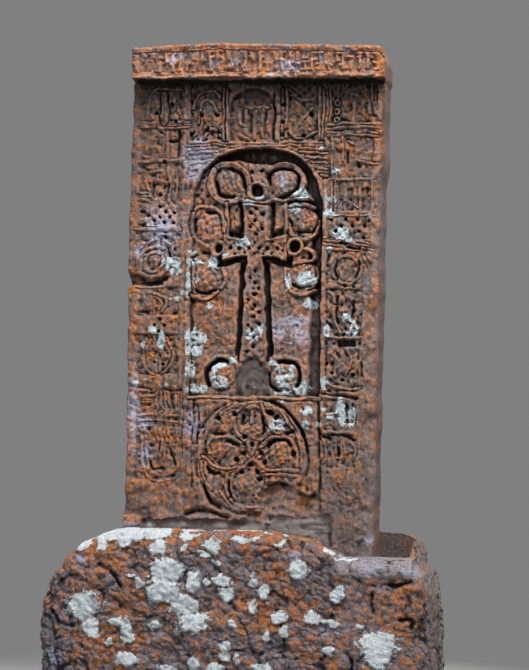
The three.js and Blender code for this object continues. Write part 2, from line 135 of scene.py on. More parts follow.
# Lichen patches on the plinth's front: x, z, half width, half height, all in millimetres.
PLINTH_PALE = (
    (-150, 585, 45, 10), (60, 575, 40, 10),
    (-520, 330, 60, 50), (-495, 255, 30, 40), (-225, 450, 60, 50), (-235, 380, 60, 45), (-160, 335, 55, 30),
    (-115, 280, 55, 35), (-450, 580, 60, 25), (-350, 585, 60, 20), (-270, 590, 50, 20), (-545, 535, 30, 15),
    (-470, 540, 20, 20), (-385, 550, 30, 20), (-260, 540, 30, 30), (-60, 550, 30, 25), (-150, 570, 20, 10),
    (-160, 540, 15, 10), (-95, 510, 20, 15), (-50, 490, 15, 15), (-355, 430, 20, 10), (-320, 405, 20, 15),
    (-25, 425, 30, 20), (-10, 380, 25, 25), (-125, 415, 25, 35), (-75, 415, 15, 15), (-365, 255, 20, 30),
    (-355, 215, 25, 20), (-430, 195, 15, 15), (-405, 275, 20, 15), (-270, 260, 20, 15), (-360, 135, 45, 20),
    (-120, 130, 20, 30), (0, 195, 20, 15), (-45, 110, 30, 20), (-210, 110, 30, 15), (85, 425, 15, 20),
    (125, 390, 25, 30), (90, 335, 15, 20), (175, 310, 30, 25), (200, 260, 15, 20), (135, 235, 15, 20),
    (20, 275, 15, 15), (30, 145, 10, 15), (-5, 165, 15, 20), (300, 305, 30, 20), (345, 295, 15, 10),
    (365, 280, 15, 10), (390, 390, 25, 30), (240, 470, 35, 30), (305, 565, 20, 10), (355, 540, 15, 10),
    (525, 220, 70, 45), (530, 180, 45, 40), (355, 200, 20, 20), (470, 280, 15, 10),
    (20, 580, 25, 10), (80, 580, 20, 10), (125, 595, 20, 5), (180, 565, 20, 10), (125, 125, 30, 20),
    (415, 515, 50, 5),
)
PLINTH_LILAC = (
    (220, 520, 30, 15), (630, 475, 30, 20), (505, 485, 50, 25), (-630, 135, 30, 30), (340, 260, 45, 20),
    (-540, 480, 20, 20),
)


def smooth(start, end, x):
    """Nought before start, one after end, and an easy slope between them."""
    t = np.clip((x - start) / (end - start), 0.0, 1.0)
    return t * t * (3.0 - 2.0 * t)


def scatter(index, seed):
    """A repeatable number from 0 to 1 for each whole-numbered place."""
    i, j, k = index.T
    mixed = (i * 73856093) ^ (j * 19349663) ^ (k * 83492791) ^ (seed * 83492)
    mixed = ((mixed ^ (mixed >> 13)) * 1274126177) & 0xFFFFFFFF
    return ((mixed ^ (mixed >> 15)) & 0xFFFF) / 65535.0


def lattice_noise(points, cell, seed):
    """Smooth repeatable noise from -1 to 1 at points, with lumps about one cell wide."""
    place = points / cell
    corner = np.floor(place).astype(np.int64)
    blend = place - corner
    blend = blend * blend * (3.0 - 2.0 * blend)
    total = np.zeros(len(points))
    for step in np.ndindex(2, 2, 2):
        weight = np.prod(np.where(step, blend, 1.0 - blend), axis=1)
        total += weight * (2.0 * scatter(corner + step, seed) - 1.0)
    return total


def neighbours(points, cell, seed):
    """For the cells round each point: their whole-numbered places, and how far away their middles are."""
    place = points / cell
    corner = np.floor(place).astype(np.int64)
    for step in np.ndindex(3, 3, 3):
        index = corner + step - 1
        middle = index + np.stack([scatter(index, seed + axis) for axis in range(3)], axis=1)
        yield index, np.linalg.norm(middle - place, axis=1)


def knob_edges(points, cell, seed):
    """Nought on the crevices between rounded knobs about one cell wide, and up to one inside them."""
    nearest, second = np.full((2, len(points)), 9.0)
    for _, away in neighbours(points, cell, seed):
        second = np.minimum(second, np.maximum(nearest, away))
        nearest = np.minimum(nearest, away)
    return second - nearest


def rosettes(points, cell, seed, share):
    """Round patches of many sizes, about one to a cell: one at a middle, a half at a rim, nought far away."""
    field = np.zeros(len(points))
    for index, away in neighbours(points, cell, seed):
        radius = (0.12 + 0.4 * scatter(index, seed + 3) ** 2) * (scatter(index, seed + 4) < share) + 1e-3
        field = np.maximum(field, 1.0 - 0.5 * away / radius)
    return field


def blur(field, sigma, upright=None):
    """A Gaussian blur of a height map, in cells across and upright, mirrored at its edges."""
    upright = sigma if upright is None else upright
    pad = int(3 * max(sigma, upright)) + 1
    wide = np.pad(field, pad, mode="reflect")
    rows = np.fft.fftfreq(wide.shape[0])[:, None]
    columns = np.fft.rfftfreq(wide.shape[1])[None, :]
    keep = np.exp(-2.0 * math.pi**2 * ((upright * rows) ** 2 + (sigma * columns) ** 2))
    soft = np.fft.irfft2(np.fft.rfft2(wide) * keep, s=wide.shape)
    return soft[pad:-pad, pad:-pad]


def grain(shape, sigma, seed, upright=None):
    """Blurred random grain with a spread of one."""
    raw = blur(np.random.default_rng(seed).standard_normal(shape), sigma, upright)
    return raw / raw.std()


# The room between a round path's points in millimetres, and the points for each stretch of a smooth path.
RING_STEP = 7
FLOW_STEPS = 6


def ring_path(u, v, radius, start=0.0, turn=360.0):
    """Points round a circle or arc."""
    count = max(9, int(radius * math.radians(abs(turn)) / RING_STEP))
    angles = np.radians(np.linspace(start, start + turn, count))
    return [(u + radius * math.cos(a), v + radius * math.sin(a)) for a in angles]


def flow(*points):
    """A smooth path through points."""
    if len(points) == 2:
        return list(points)
    ends = np.array(points, float)
    ends = np.vstack([2 * ends[0] - ends[1], ends, 2 * ends[-1] - ends[-2]])
    t = np.linspace(0.0, 1.0, FLOW_STEPS, endpoint=False)[:, None]
    path = []
    for a, b, c, d in zip(ends[:-3], ends[1:-2], ends[2:-1], ends[3:]):
        path.extend(b + 0.5 * t * (c - a + t * (2 * a - 5 * b + 4 * c - d + t * (3 * (b - c) + d - a))))
    return [tuple(place) for place in path] + [tuple(points[-1])]


def path_distance(U, V, points):
    """How far each place is from a path."""
    nearest = np.full(U.shape, 1e9)
    for (u0, v0), (u1, v1) in zip(points[:-1], points[1:]):
        du, dv = u1 - u0, v1 - v0
        along = np.clip(((U - u0) * du + (V - v0) * dv) / max(du * du + dv * dv, 1e-9), 0.0, 1.0)
        nearest = np.minimum(nearest, (U - u0 - along * du) ** 2 + (V - v0 - along * dv) ** 2)
    return np.sqrt(nearest)


def box_edge(U, V, left, right, low, high):
    """About the distance from a box's outline, below nought inside it."""
    across = np.abs(U - (left + right) / 2) - (right - left) / 2
    up = np.abs(V - (low + high) / 2) - (high - low) / 2
    return np.maximum(across, up)


# How much of the room between two strands' middles a strand fills, and the size of a leaf's lobes.
STRAND_SHARE = 0.66
LOBE = 21.0


class CarvedFace:
    """The slab's front as a height map, with the carver's few kinds of cut."""

    def __init__(self, pitch):
        self.u = np.linspace(-FACE_HALF, FACE_HALF, int(2 * FACE_HALF / pitch) + 1)
        self.v = np.linspace(FACE_LOW, FACE_TOP, int((FACE_TOP - FACE_LOW) / pitch) + 1)
        self.U, self.V = np.meshgrid(self.u, self.v)
        self.h = np.zeros(self.U.shape)
        self.sway_u, self.sway_v = (grain(self.U.shape, 8.0, seed) for seed in (11, 12))

    def patch(self, left, right, low, high):
        """The part of the map inside a box, with its coordinates."""
        columns = slice(*np.searchsorted(self.u, (left, right)))
        rows = slice(*np.searchsorted(self.v, (low, high)))
        window = (rows, columns)
        return window, self.U[window], self.V[window]

    def around(self, points, reach):
        """The part of the map within reach of a path."""
        us, vs = zip(*points)
        return self.patch(min(us) - reach, max(us) + reach, min(vs) - reach, max(vs) + reach)

    def sink(self, window, signed, ground, slope=2.5):
        """Cuts down to a ground where a signed distance is below nought."""
        share = smooth(slope, -slope, signed)
        h = self.h[window]
        self.h[window] = h + share * (np.minimum(h, ground) - h)

    def sink_box(self, left, right, low, high, ground, slope=2.5):
        """Cuts a square-cornered recess."""
        window, U, V = self.patch(left - 6, right + 6, low - 6, high + 6)
        self.sink(window, box_edge(U, V, left, right, low, high), ground, slope)

    def sink_disc(self, u, v, radius, ground):
        """Cuts a round recess."""
        window, U, V = self.patch(u - radius - 6, u + radius + 6, v - radius - 6, v + radius + 6)
        self.sink(window, np.hypot(U - u, V - v) - radius, ground)

    def sink_arch(self, u, half, low, spring, ground):
        """Cuts a round-headed recess."""
        window, U, V = self.patch(u - half - 6, u + half + 6, low - 6, spring + half + 6)
        straight = np.maximum(np.abs(U - u) - half, low - V)
        signed = np.where(V < spring, straight, np.hypot(U - u, V - spring) - half)
        self.sink(window, signed, ground)

    def drill(self, u, v, radius, depth):
        """Drills a round hole with a worn rim."""
        window, U, V = self.patch(u - 2 * radius, u + 2 * radius, v - 2 * radius, v + 2 * radius)
        self.h[window] -= depth * smooth(1.3 * radius, 0.55 * radius, np.hypot(U - u, V - v))

    def groove(self, points, width, depth):
        """Cuts a soft groove along a path."""
        window, U, V = self.around(points, 1.6 * width)
        self.h[window] -= depth * np.exp(-((path_distance(U, V, points) / (0.5 * width)) ** 2))

    def strap(self, points, width, top, groove=0.0, moat=5.0, ground=None):
        """A band left standing along a path, grooved down its middle. With a ground, it cuts a moat."""
        half = width / 2
        window, U, V = self.around(points, half + moat + 4)
        away = path_distance(U, V, points)
        h = self.h[window]
        if ground is not None:
            share = smooth(half + moat + 1.5, half + moat - 1.5, away)
            h = h + share * (np.minimum(h, ground) - h)
        crown = top - 0.16 * width * (away / half) ** 2
        crown = crown - groove * np.exp(-((away / (0.17 * width)) ** 2))
        self.h[window] = np.where(away < half, crown if ground is not None else np.maximum(h, crown), h)

    def leaf(self, base, tip, width, top, vein=4.0):
        """A pointed leaf from base to tip, with a midrib and slanting side veins."""
        window, U, V = self.around([base, tip], width)
        du, dv = tip[0] - base[0], tip[1] - base[1]
        length = math.hypot(du, dv)
        along = ((U - base[0]) * du + (V - base[1]) * dv) / length**2
        aside = np.abs((U - base[0]) * dv - (V - base[1]) * du) / length
        half = 0.5 * width * np.sin(math.pi * np.clip(along, 0.0, 1.0) ** 0.8) + 1e-6
        inside = (aside < half) & (along > 0.0) & (along < 1.0)
        crown = top - 5.0 * (aside / half) ** 2 - vein * np.exp(-((aside / 2.6) ** 2))
        crown = crown + 1.6 * np.cos(2 * math.pi * (along * length - 0.8 * aside) / 13.0)
        self.h[window] = np.where(inside, np.maximum(self.h[window], crown), self.h[window])

    def lobes(self, u, v, radius, top):
        """A round leaf made of small rounded lobes."""
        window, U, V = self.patch(u - radius, u + radius, v - radius, v + radius)
        away = np.hypot(U - u, V - v) / radius
        first = U - u + 0.5 * (V - v) + 7.0 * self.sway_u[window]
        second = V - v - 0.5 * (U - u) + 7.0 * self.sway_v[window]
        knobs = np.abs(np.cos(math.pi * first / LOBE) * np.cos(math.pi * second / LOBE)) ** 0.6
        crown = top - 8.0 * away**4 - 7.0 * (1.0 - knobs)
        self.h[window] = np.where(away < 1.0, np.maximum(self.h[window], crown), self.h[window])

    def straps(self, width, top, paths, groove=2.5, moat=2.5, ground=None):
        """Leaves a band standing along each of several smooth paths."""
        for path in paths:
            self.strap(flow(*path), width, top, groove, moat, ground)

    def cuts(self, width, depth, paths):
        """Cuts a groove along each of several smooth paths."""
        for path in paths:
            self.groove(flow(*path), width, depth)

    def holes(self, radius, depth, places):
        """Drills a hole at each of several places."""
        for u, v in places:
            self.drill(u, v, radius, depth)

    def buds(self, top, places):
        """Carves a lobed leaf at each of several places."""
        for u, v, radius in places:
            self.lobes(u, v, radius, top)

    def cover(self, window, share, surface):
        """Blends the map towards a new surface."""
        self.h[window] += share * (surface - self.h[window])

    def knotwork(self, window, pitch, rise, top, depth, sway=5.0):
        """Strands that pass over and under each other on a slanting lattice, none of them quite straight."""
        U = self.U[window] + sway * self.sway_u[window]
        V = self.V[window] + sway * self.sway_v[window]
        first, second = U / pitch + V / rise, U / pitch - V / rise
        surface = np.full(U.shape, top - depth)
        for along, across, hand in ((first, second, 1), (second, first, -1)):
            strand = np.rint(along)
            away = 2 * np.abs(along - strand) / STRAND_SHARE
            lift = hand * (1 - 2 * (strand % 2)) * np.cos(math.pi * across)
            crown = top - depth * (0.28 - 0.28 * lift + 0.25 * away**2)
            crown = crown - 0.22 * depth * np.exp(-((away / 0.3) ** 2))
            surface = np.where(away < 1.0, np.maximum(surface, crown), surface)
        return surface

    def knot_panel(self, left, right, low, high, pitch=38.0, rise=40.0, top=-3.0, depth=13.0, sway=5.0):
        """A framed panel filled with knotwork."""
        window, U, V = self.patch(left - 4, right + 4, low - 4, high + 4)
        edge = box_edge(U, V, left, right, low, high)
        self.cover(window, smooth(2.0, -2.0, edge), self.knotwork(window, pitch, rise, top, depth, sway))
        self.h[window] -= 3.0 * np.exp(-((edge / 3.5) ** 2))


# The cornice's strokes: how far they stand out of their ground, half their width, how far their cross bars
# reach and half those bars' height, and the room from one stroke to the next, from least to most.
STROKE_RELIEF = 9.5
STROKE_HALF = (4.6, 6.4)
BAR_REACH = (8, 15)
BAR_HALF = 5.0
STROKE_PITCH = (23.0, 33.0)
STROKES_FROM = -438.0
STROKES_TO = 436.0
# How far the ridges leave the strokes' ground clear of the cornice's lower and upper edges.
RIDGE_LOW = 19
RIDGE_HIGH = 22


def carve_cornice(face):
    """The cornice stands out, with rows of plain strokes between two ridges."""
    rng = np.random.default_rng(5)
    above = face.V >= CORNICE_LOW
    lean = CORNICE_LEAN * (face.V - CORNICE_LOW) / (FACE_TOP - CORNICE_LOW)
    face.h[above] = (CORNICE_REACH - CORNICE_LEAN + lean)[above]
    low, high = CORNICE_LOW + RIDGE_LOW, FACE_TOP - RIDGE_HIGH
    window, U, V = face.patch(-448, 448, low, high)
    sunk = np.full(U.shape, -STROKE_RELIEF)
    u = STROKES_FROM
    while u < STROKES_TO:
        kind = rng.integers(0, 7)
        start = low + (4 if kind not in (1, 5) else 38)
        end = high - (4 if kind not in (2, 6) else 36)
        sunk[(np.abs(U - u) < rng.uniform(*STROKE_HALF)) & (V > start) & (V < end)] = 0.0
        for bar in (start + 4, end - 4, rng.uniform(low + 16, high - 16))[kind % 3:]:
            side = rng.uniform(-8, 8)
            sunk[(np.abs(U - u - side) < rng.uniform(*BAR_REACH)) & (np.abs(V - bar) < BAR_HALF)] = 0.0
        u += rng.uniform(*STROKE_PITCH)
    face.h[window] += sunk
    for ridge in (low - 4, high + 5):
        face.groove([(-460, ridge), (460, ridge)], 6.0, 4.0)


def carve_band(face):
    """The band under the cornice: an arched recess with a carved block, between two panels of knotwork."""
    low, high = 1408.0, 1618.0
    for left, right in ((-256, -116), (80, 232)):
        face.knot_panel(left, right, low, high, 42, 46, -5, 11, 9)
    face.straps(10, 0, (
        ((-244, 1520), (-222, 1572), (-176, 1584), (-140, 1560)),
        ((-224, 1470), (-206, 1546), (-168, 1540), (-156, 1500)),
        ((-240, 1420), (-214, 1450), (-212, 1500)), ((-200, 1412), (-170, 1450), (-128, 1412)),
        ((-130, 1590), (-130, 1412)), ((-117, 1590), (-117, 1412)),
        ((112, 1586), (146, 1552), (196, 1548)), ((100, 1500), (106, 1560), (140, 1568)),
        ((120, 1420), (150, 1470), (200, 1520)), ((110, 1440), (150, 1412), (214, 1440)),
        ((86, 1590), (86, 1412)), ((98, 1590), (98, 1450)), ((222, 1596), (222, 1412)),
        ((234, 1596), (234, 1412)),
    ), ground=-15)
    face.buds(-1, (
        (-150, 1468, 24), (-190, 1512, 20), (-222, 1440, 18), (130, 1524, 22), (178, 1460, 26),
        (130, 1440, 20),
    ))
    face.holes(8, 18, (
        (-212, 1496), (-160, 1500), (-187, 1441), (-149, 1438), (-250, 1427), (88, 1535), (112, 1557),
        (192, 1500), (86, 1474), (88, 1424), (167, 1424),
    ))
    face.sink_arch(-24, 84, low, 1514, -16)
    window, _, _ = face.patch(-98, 52, low, 1560)
    face.h[window] = face.knotwork(window, 40, 44, -10, 7, 9)
    face.straps(13, -5, (
        ((-56, 1522), (34, 1522)), ((-48, 1512), (-48, 1420)), ((-16, 1512), (-16, 1412)),
        ((14, 1512), (12, 1420)), ((-72, 1508), (-66, 1474), (-48, 1462)),
        ((38, 1508), (32, 1474), (16, 1462)), ((-70, 1430), (-40, 1410)),
    ), ground=-16)
    face.cuts(8, 14, (((57, 1566), (57, 1408)), ((-32, 1500), (-32, 1436)), ((24, 1500), (24, 1462))))
    for v in (1382, 1393, 1404):
        face.groove([(-262, v), (240, v)], 5, 6)


def carve_left_border(face):
    """The left border's panels of knotwork, with a cross, a ring, an almond and a looped strap."""
    left, right = -432.0, -286.0
    for low, high, pitch, depth in (
        (1474, 1620, 40, 9), (1340, 1446, 54, 6), (1182, 1326, 44, 9), (1094, 1178, 40, 6),
        (900, 1070, 40, 10), (768, 866, 48, 7), (552, 700, 42, 9), (170, 486, 38, 8),
    ):
        face.knot_panel(left, right, low, high, pitch, 1.1 * pitch, -4, depth, 7)
    face.straps(9, 0, (
        ((-412, 1484), (-409, 1555), (-394, 1584), (-358, 1596), (-290, 1592)),
        ((-424, 1484), (-421, 1561), (-406, 1592)), ((-300, 1580), (-298, 1482)),
        ((-312, 1560), (-290, 1500)), ((-440, 1470), (-262, 1471)), ((-440, 1453), (-262, 1452)),
        ((-412, 1309), (-376, 1309)), ((-388, 1292), (-366, 1296), (-346, 1284)),
        ((-409, 1255), (-397, 1200)), ((-394, 1256), (-385, 1206)), ((-430, 1213), (-402, 1210)),
        ((-430, 1190), (-402, 1186)), ((-304, 1300), (-296, 1250), (-304, 1186)),
        ((-348, 1060), (-306, 1051), (-288, 1020)), ((-342, 1036), (-315, 1022), (-304, 994)),
        ((-420, 1000), (-400, 1030), (-370, 1040)), ((-386, 852), (-340, 838), (-328, 806), (-344, 780)),
        ((-376, 836), (-354, 826), (-346, 806), (-358, 792)),
        ((-398, 684), (-413, 629), (-401, 572), (-372, 552)),
        ((-326, 688), (-299, 629), (-316, 572), (-340, 552)), ((-384, 682), (-398, 629), (-386, 578)),
        ((-340, 688), (-314, 629), (-330, 578)), ((-364, 604), (-362, 562)), ((-348, 604), (-348, 562)),
        ((-372, 690), (-362, 640), (-348, 690)),
        ((-407, 330), (-401, 228), (-380, 176), (-323, 164), (-270, 190), (-260, 256), (-266, 318)),
        ((-392, 324), (-386, 234), (-371, 198), (-323, 184), (-288, 206), (-278, 256), (-282, 306)),
        ((-420, 402), (-264, 402)), ((-420, 382), (-264, 382)), ((-420, 362), (-264, 362)),
        ((-412, 470), (-370, 474)), ((-408, 452), (-372, 452)), ((-268, 486), (-268, 330)),
        ((-286, 480), (-286, 420)),
    ), ground=-10)
    for u in (-359, -343, -327, -311):
        face.straps(9, 1, (
            ((u, 484), (u, 446), (u + 9, 428), (u, 404)), ((u, 358), (u, 336), (u + 11, 318), (u, 250)),
        ), ground=-10)
    face.straps(14, 0, (
        ((-336, 1442), (-336, 1342)), ((-415, 1333), (-300, 1333)),
        ((-331, 1304), (-325, 1267), (-329, 1219), (-328, 1184)), ((-438, 1080), (-282, 1081)),
        ((-392, 1545), (-312, 1545)),
    ), ground=-11)
    face.strap([(-352, 1572), (-352, 1474)], 25, -1, groove=6, ground=-17)
    for radius in (54, 34):
        face.strap(ring_path(-376, 961, radius, 60, 330), 12, 0, groove=3, moat=3, ground=-11)
    face.buds(0, (
        (-388, 1562, 16), (-316, 1560, 18), (-388, 1494, 18), (-312, 1490, 20), (-364, 1267, 22),
        (-318, 1284, 16), (-376, 961, 22), (-384, 800, 22), (-383, 617, 15), (-329, 617, 15),
        (-401, 359, 16), (-284, 353, 16),
    ))
    face.holes(6, 19, (
        (-414, 1148), (-360, 1165), (-341, 1145), (-308, 1145), (-398, 1130), (-360, 1128), (-322, 1126),
        (-381, 1112), (-341, 1108), (-306, 1106), (-337, 1051), (-354, 754), (-375, 731), (-336, 730),
        (-358, 711), (-349, 1328), (-361, 1207), (-322, 1537), (-379, 1503), (-304, 1474), (-361, 1436),
        (-368, 593), (-335, 587), (-418, 1094),
    ))
    face.cuts(9, 15, (
        ((-328, 1408), (-300, 1408)), ((-388, 1244), (-388, 1208)), ((-331, 1244), (-333, 1212)),
        ((-327, 1010), (-321, 979)), ((-294, 1440), (-296, 1350)), ((-418, 503), (-377, 494)),
        ((-329, 500), (-269, 494)), ((-380, 234), (-365, 209), (-329, 213)),
        ((-306, 290), (-296, 262), (-286, 226)), ((-414, 780), (-396, 776)),
    ))


def carve_right_border(face):
    """The right border's panels of knotwork, with three slots, a ring and an almond."""
    left, right = 258.0, 436.0
    for low, high, pitch, depth in (
        (1470, 1620, 40, 11), (1268, 1420, 58, 6), (1136, 1258, 66, 5), (1050, 1128, 40, 6),
        (886, 1006, 40, 10), (700, 868, 40, 11), (500, 690, 42, 12), (360, 474, 54, 6), (230, 346, 46, 9),
    ):
        face.knot_panel(left, right - 0.05 * (1600 - low), low, high, pitch, 1.1 * pitch, -4, depth, 8)
    face.straps(9, 0, (
        ((258, 1596), (258, 1474)), ((346, 1590), (376, 1584), (398, 1548), (402, 1500)),
        ((330, 1572), (368, 1560), (384, 1500)), ((422, 1596), (420, 1530), (434, 1490)),
        ((408, 1596), (410, 1540), (424, 1500)), ((346, 1540), (346, 1476)), ((254, 1467), (440, 1464)),
        ((254, 1452), (440, 1450)), ((254, 1436), (440, 1432)), ((254, 1424), (440, 1422)),
        ((308, 1418), (308, 1330)), ((328, 1400), (346, 1390)), ((372, 1330), (440, 1322)),
        ((268, 1416), (270, 1280)), ((268, 1256), (268, 1140)), ((280, 1256), (280, 1140)),
        ((432, 1254), (430, 1140)), ((444, 1254), (442, 1140)), ((372, 1250), (372, 1140)),
        ((311, 1190), (366, 1162)), ((246, 1040), (304, 1040)), ((246, 1026), (300, 1026)),
        ((366, 1044), (450, 1020)), ((330, 1026), (450, 1004)), ((374, 976), (398, 940), (392, 896)),
        ((392, 984), (414, 940), (410, 890)), ((312, 840), (284, 780), (310, 712)),
        ((344, 840), (372, 780), (342, 712)), ((262, 860), (282, 850), (290, 820)),
        ((266, 640), (296, 620), (300, 560)), ((330, 650), (352, 610), (330, 560)),
        ((270, 530), (320, 510), (390, 512)), ((262, 420), (300, 424)),
        ((254, 330), (268, 290), (262, 250)), ((300, 326), (306, 262)), ((330, 326), (338, 262)),
        ((352, 330), (372, 290), (366, 256)),
    ), ground=-11)
    for slot, half in ((304, 9), (336, 12), (396, 17)):
        face.sink_box(slot - half, slot + half, 1150, 1232, -14)
    face.strap(ring_path(331, 937, 50), 12, 0, groove=3, moat=3, ground=-11)
    face.buds(-1, (
        (331, 937, 36), (396, 924, 18), (328, 776, 26), (272, 800, 18), (384, 800, 22), (320, 594, 30),
        (280, 640, 20), (368, 600, 22), (321, 542, 20), (280, 560, 18), (372, 540, 22), (346, 640, 20),
        (286, 1392, 20),
    ))
    for v in (1544, 1512, 1482):
        face.strap(ring_path(284, v, 10), 8, -1, moat=3, ground=-18)
    face.holes(6, 19, (
        (271, 1112), (322, 1117), (367, 1117), (412, 1112), (307, 1094), (347, 1094), (390, 1097),
        (431, 1094), (370, 1078), (387, 1055), (284, 1078), (326, 880), (358, 878), (390, 874),
        (322, 704), (264, 599), (288, 569), (321, 542), (356, 560),
    ))
    face.cuts(10, 17, (
        ((326, 1360), (328, 1326)), ((366, 1322), (366, 1308)), ((304, 1034), (332, 1032)),
        ((332, 1018), (376, 1014)), ((293, 970), (288, 935), (296, 900)),
        ((372, 970), (376, 945), (368, 915)), ((296, 830), (294, 790), (298, 756)),
        ((354, 826), (358, 800), (352, 770)), ((262, 745), (276, 736)), ((390, 606), (392, 560)),
        ((238, 494), (300, 486), (376, 478)), ((236, 350), (258, 338), (284, 332)),
        ((290, 346), (330, 344), (372, 328)), ((312, 300), (308, 270)), ((392, 292), (404, 286)),
    ))
    face.sink_box(302, 362, 659, 687, -24)
    face.sink_box(332, 364, 384, 460, -19, 5)
    for radius in (50, 66, 84, 104, 124):
        face.groove(ring_path(372, 196, radius, 185, 85), 9, 4)


def carve_border_lines(face):
    """The fine upright lines between the borders and the middle."""
    for low, places in ((60, (-281, -264, -246)), (240, (238, 254))):
        for u in places:
            face.groove([(u, low), (u, 1602)], 5, 5)


def arch_edge(U, V):
    """About the distance from the niche's outline, below nought inside it. Its head is a full oval."""
    straight = np.maximum(np.abs(U) - NICHE_HALF, NICHE_SILL - V)
    rise = np.maximum(V - NICHE_SPRING, 0.0) / NICHE_RISE
    reach = (np.abs(U / NICHE_HALF) ** ARCH_FULLNESS + rise**ARCH_FULLNESS) ** (1 / ARCH_FULLNESS)
    return np.where(V < NICHE_SPRING, straight, (reach - 1.0) * NICHE_HALF)


def stem_half_at(v):
    """Half the width of the cross's stem, which widens downwards."""
    return 32.0 + 16.0 * np.clip((979.0 - v) / 360.0, 0.0, 1.0)


def carve_field(face):
    """The carved plate that fills the niche, clear of its crown and its right jamb."""
    window, U, V = face.patch(-NICHE_HALF - 8, NICHE_HALF, NICHE_SILL - 8, NICHE_SPRING + NICHE_RISE)
    ripple = 4.0 * face.sway_u[window]
    edge = np.maximum(arch_edge(U, V) - 5.0, arch_edge(U + FIELD_ASIDE, V + FIELD_DROP) + ripple)
    low = face.knotwork(window, 64, 84, FIELD_TOP, 5, 12)
    high = face.knotwork(window, 44, 48, FIELD_TOP, 9, 8)
    upper = smooth(860, 960, V)
    face.cover(window, smooth(3.0, -3.0, edge), low + upper * (high - low))
    for side, leaves in (
        (-1, ((70, 640, 210, 760, 64), (200, 630, 110, 820, 60), (84, 760, 214, 850, 56))),
        (1, ((62, 640, 178, 740, 60), (176, 640, 92, 830, 64), (70, 790, 150, 960, 58))),
    ):
        for u0, v0, u1, v1, width in leaves:
            face.leaf((side * u0, v0), (side * u1, v1), width, FIELD_TOP + 1)


def carve_great_cross(face):
    """The cross itself: edged arms and a stem with rows of drilled holes."""
    window, U, V = face.patch(-160, 150, STEM_FOOT - 6, 1190)
    across = np.abs(U - CROSS_AXIS)
    head_half = 40 + 5 * smooth(1055, 1180, V)
    up = np.abs(V - CROSS_CENTRE)
    arm_half = 33 + 16 * smooth(60, 122, across)
    stem = np.maximum(across - np.where(V < CROSS_CENTRE, stem_half_at(V), head_half), V - 1176)
    signed = np.minimum(stem, np.maximum(up - arm_half, across - 118))
    beside_stem = smooth(23, 18, signed) * smooth(966, 950, V - 0.22 * across)
    beside_stem = beside_stem * smooth(STEM_FOOT + 6, STEM_FOOT + 20, V)
    under_arms = smooth(13, 8, signed) * (V < CROSS_CENTRE) * smooth(98, 86, across)
    gap = np.maximum(beside_stem, under_arms) * (signed > -2)
    around = smooth(7, 3, signed) * (signed > -2)
    face.cover(window, around, np.minimum(face.h[window], CROSS_TOP - 15))
    face.cover(window, gap, NICHE_GROUND)
    edge = np.exp(-(((signed + 5.0) / 3.4) ** 2))
    inner = np.exp(-(((signed + 12.0) / 2.8) ** 2))
    woven = face.knotwork(window, 34, 38, 0, 9, 3)
    crown = CROSS_TOP - 1 + 3.0 * edge - 3.5 * inner + smooth(-12, -18, signed) * woven
    face.h[window] = np.where(signed < 0, crown, face.h[window])
    face.holes(6.5, 20, [(CROSS_AXIS + du, v) for du, v in (
        (0, 930), (1, 888), (0, 847), (1, 808), (0, 765), (-19, 828), (18, 868), (19, 786), (-20, 734),
        (20, 738), (1, 694), (-20, 640), (0, 656), (-90, 1015), (-58, 1016), (-22, 1014), (14, 1016),
        (44, 1015), (80, 1014), (3, 1160), (-18, 1141), (28, 1141), (0, 1113), (-19, 1091), (22, 1091),
        (0, 1069),
    )])
    face.holes(4.8, 15, [(CROSS_AXIS + du, v) for du, v in (
        (-4, 1037), (-62, 1034), (-74, 993), (-2, 995), (60, 992), (62, 1036), (17, 910), (-17, 908),
        (100, 1010), (-38, 994), (34, 994),
    )])


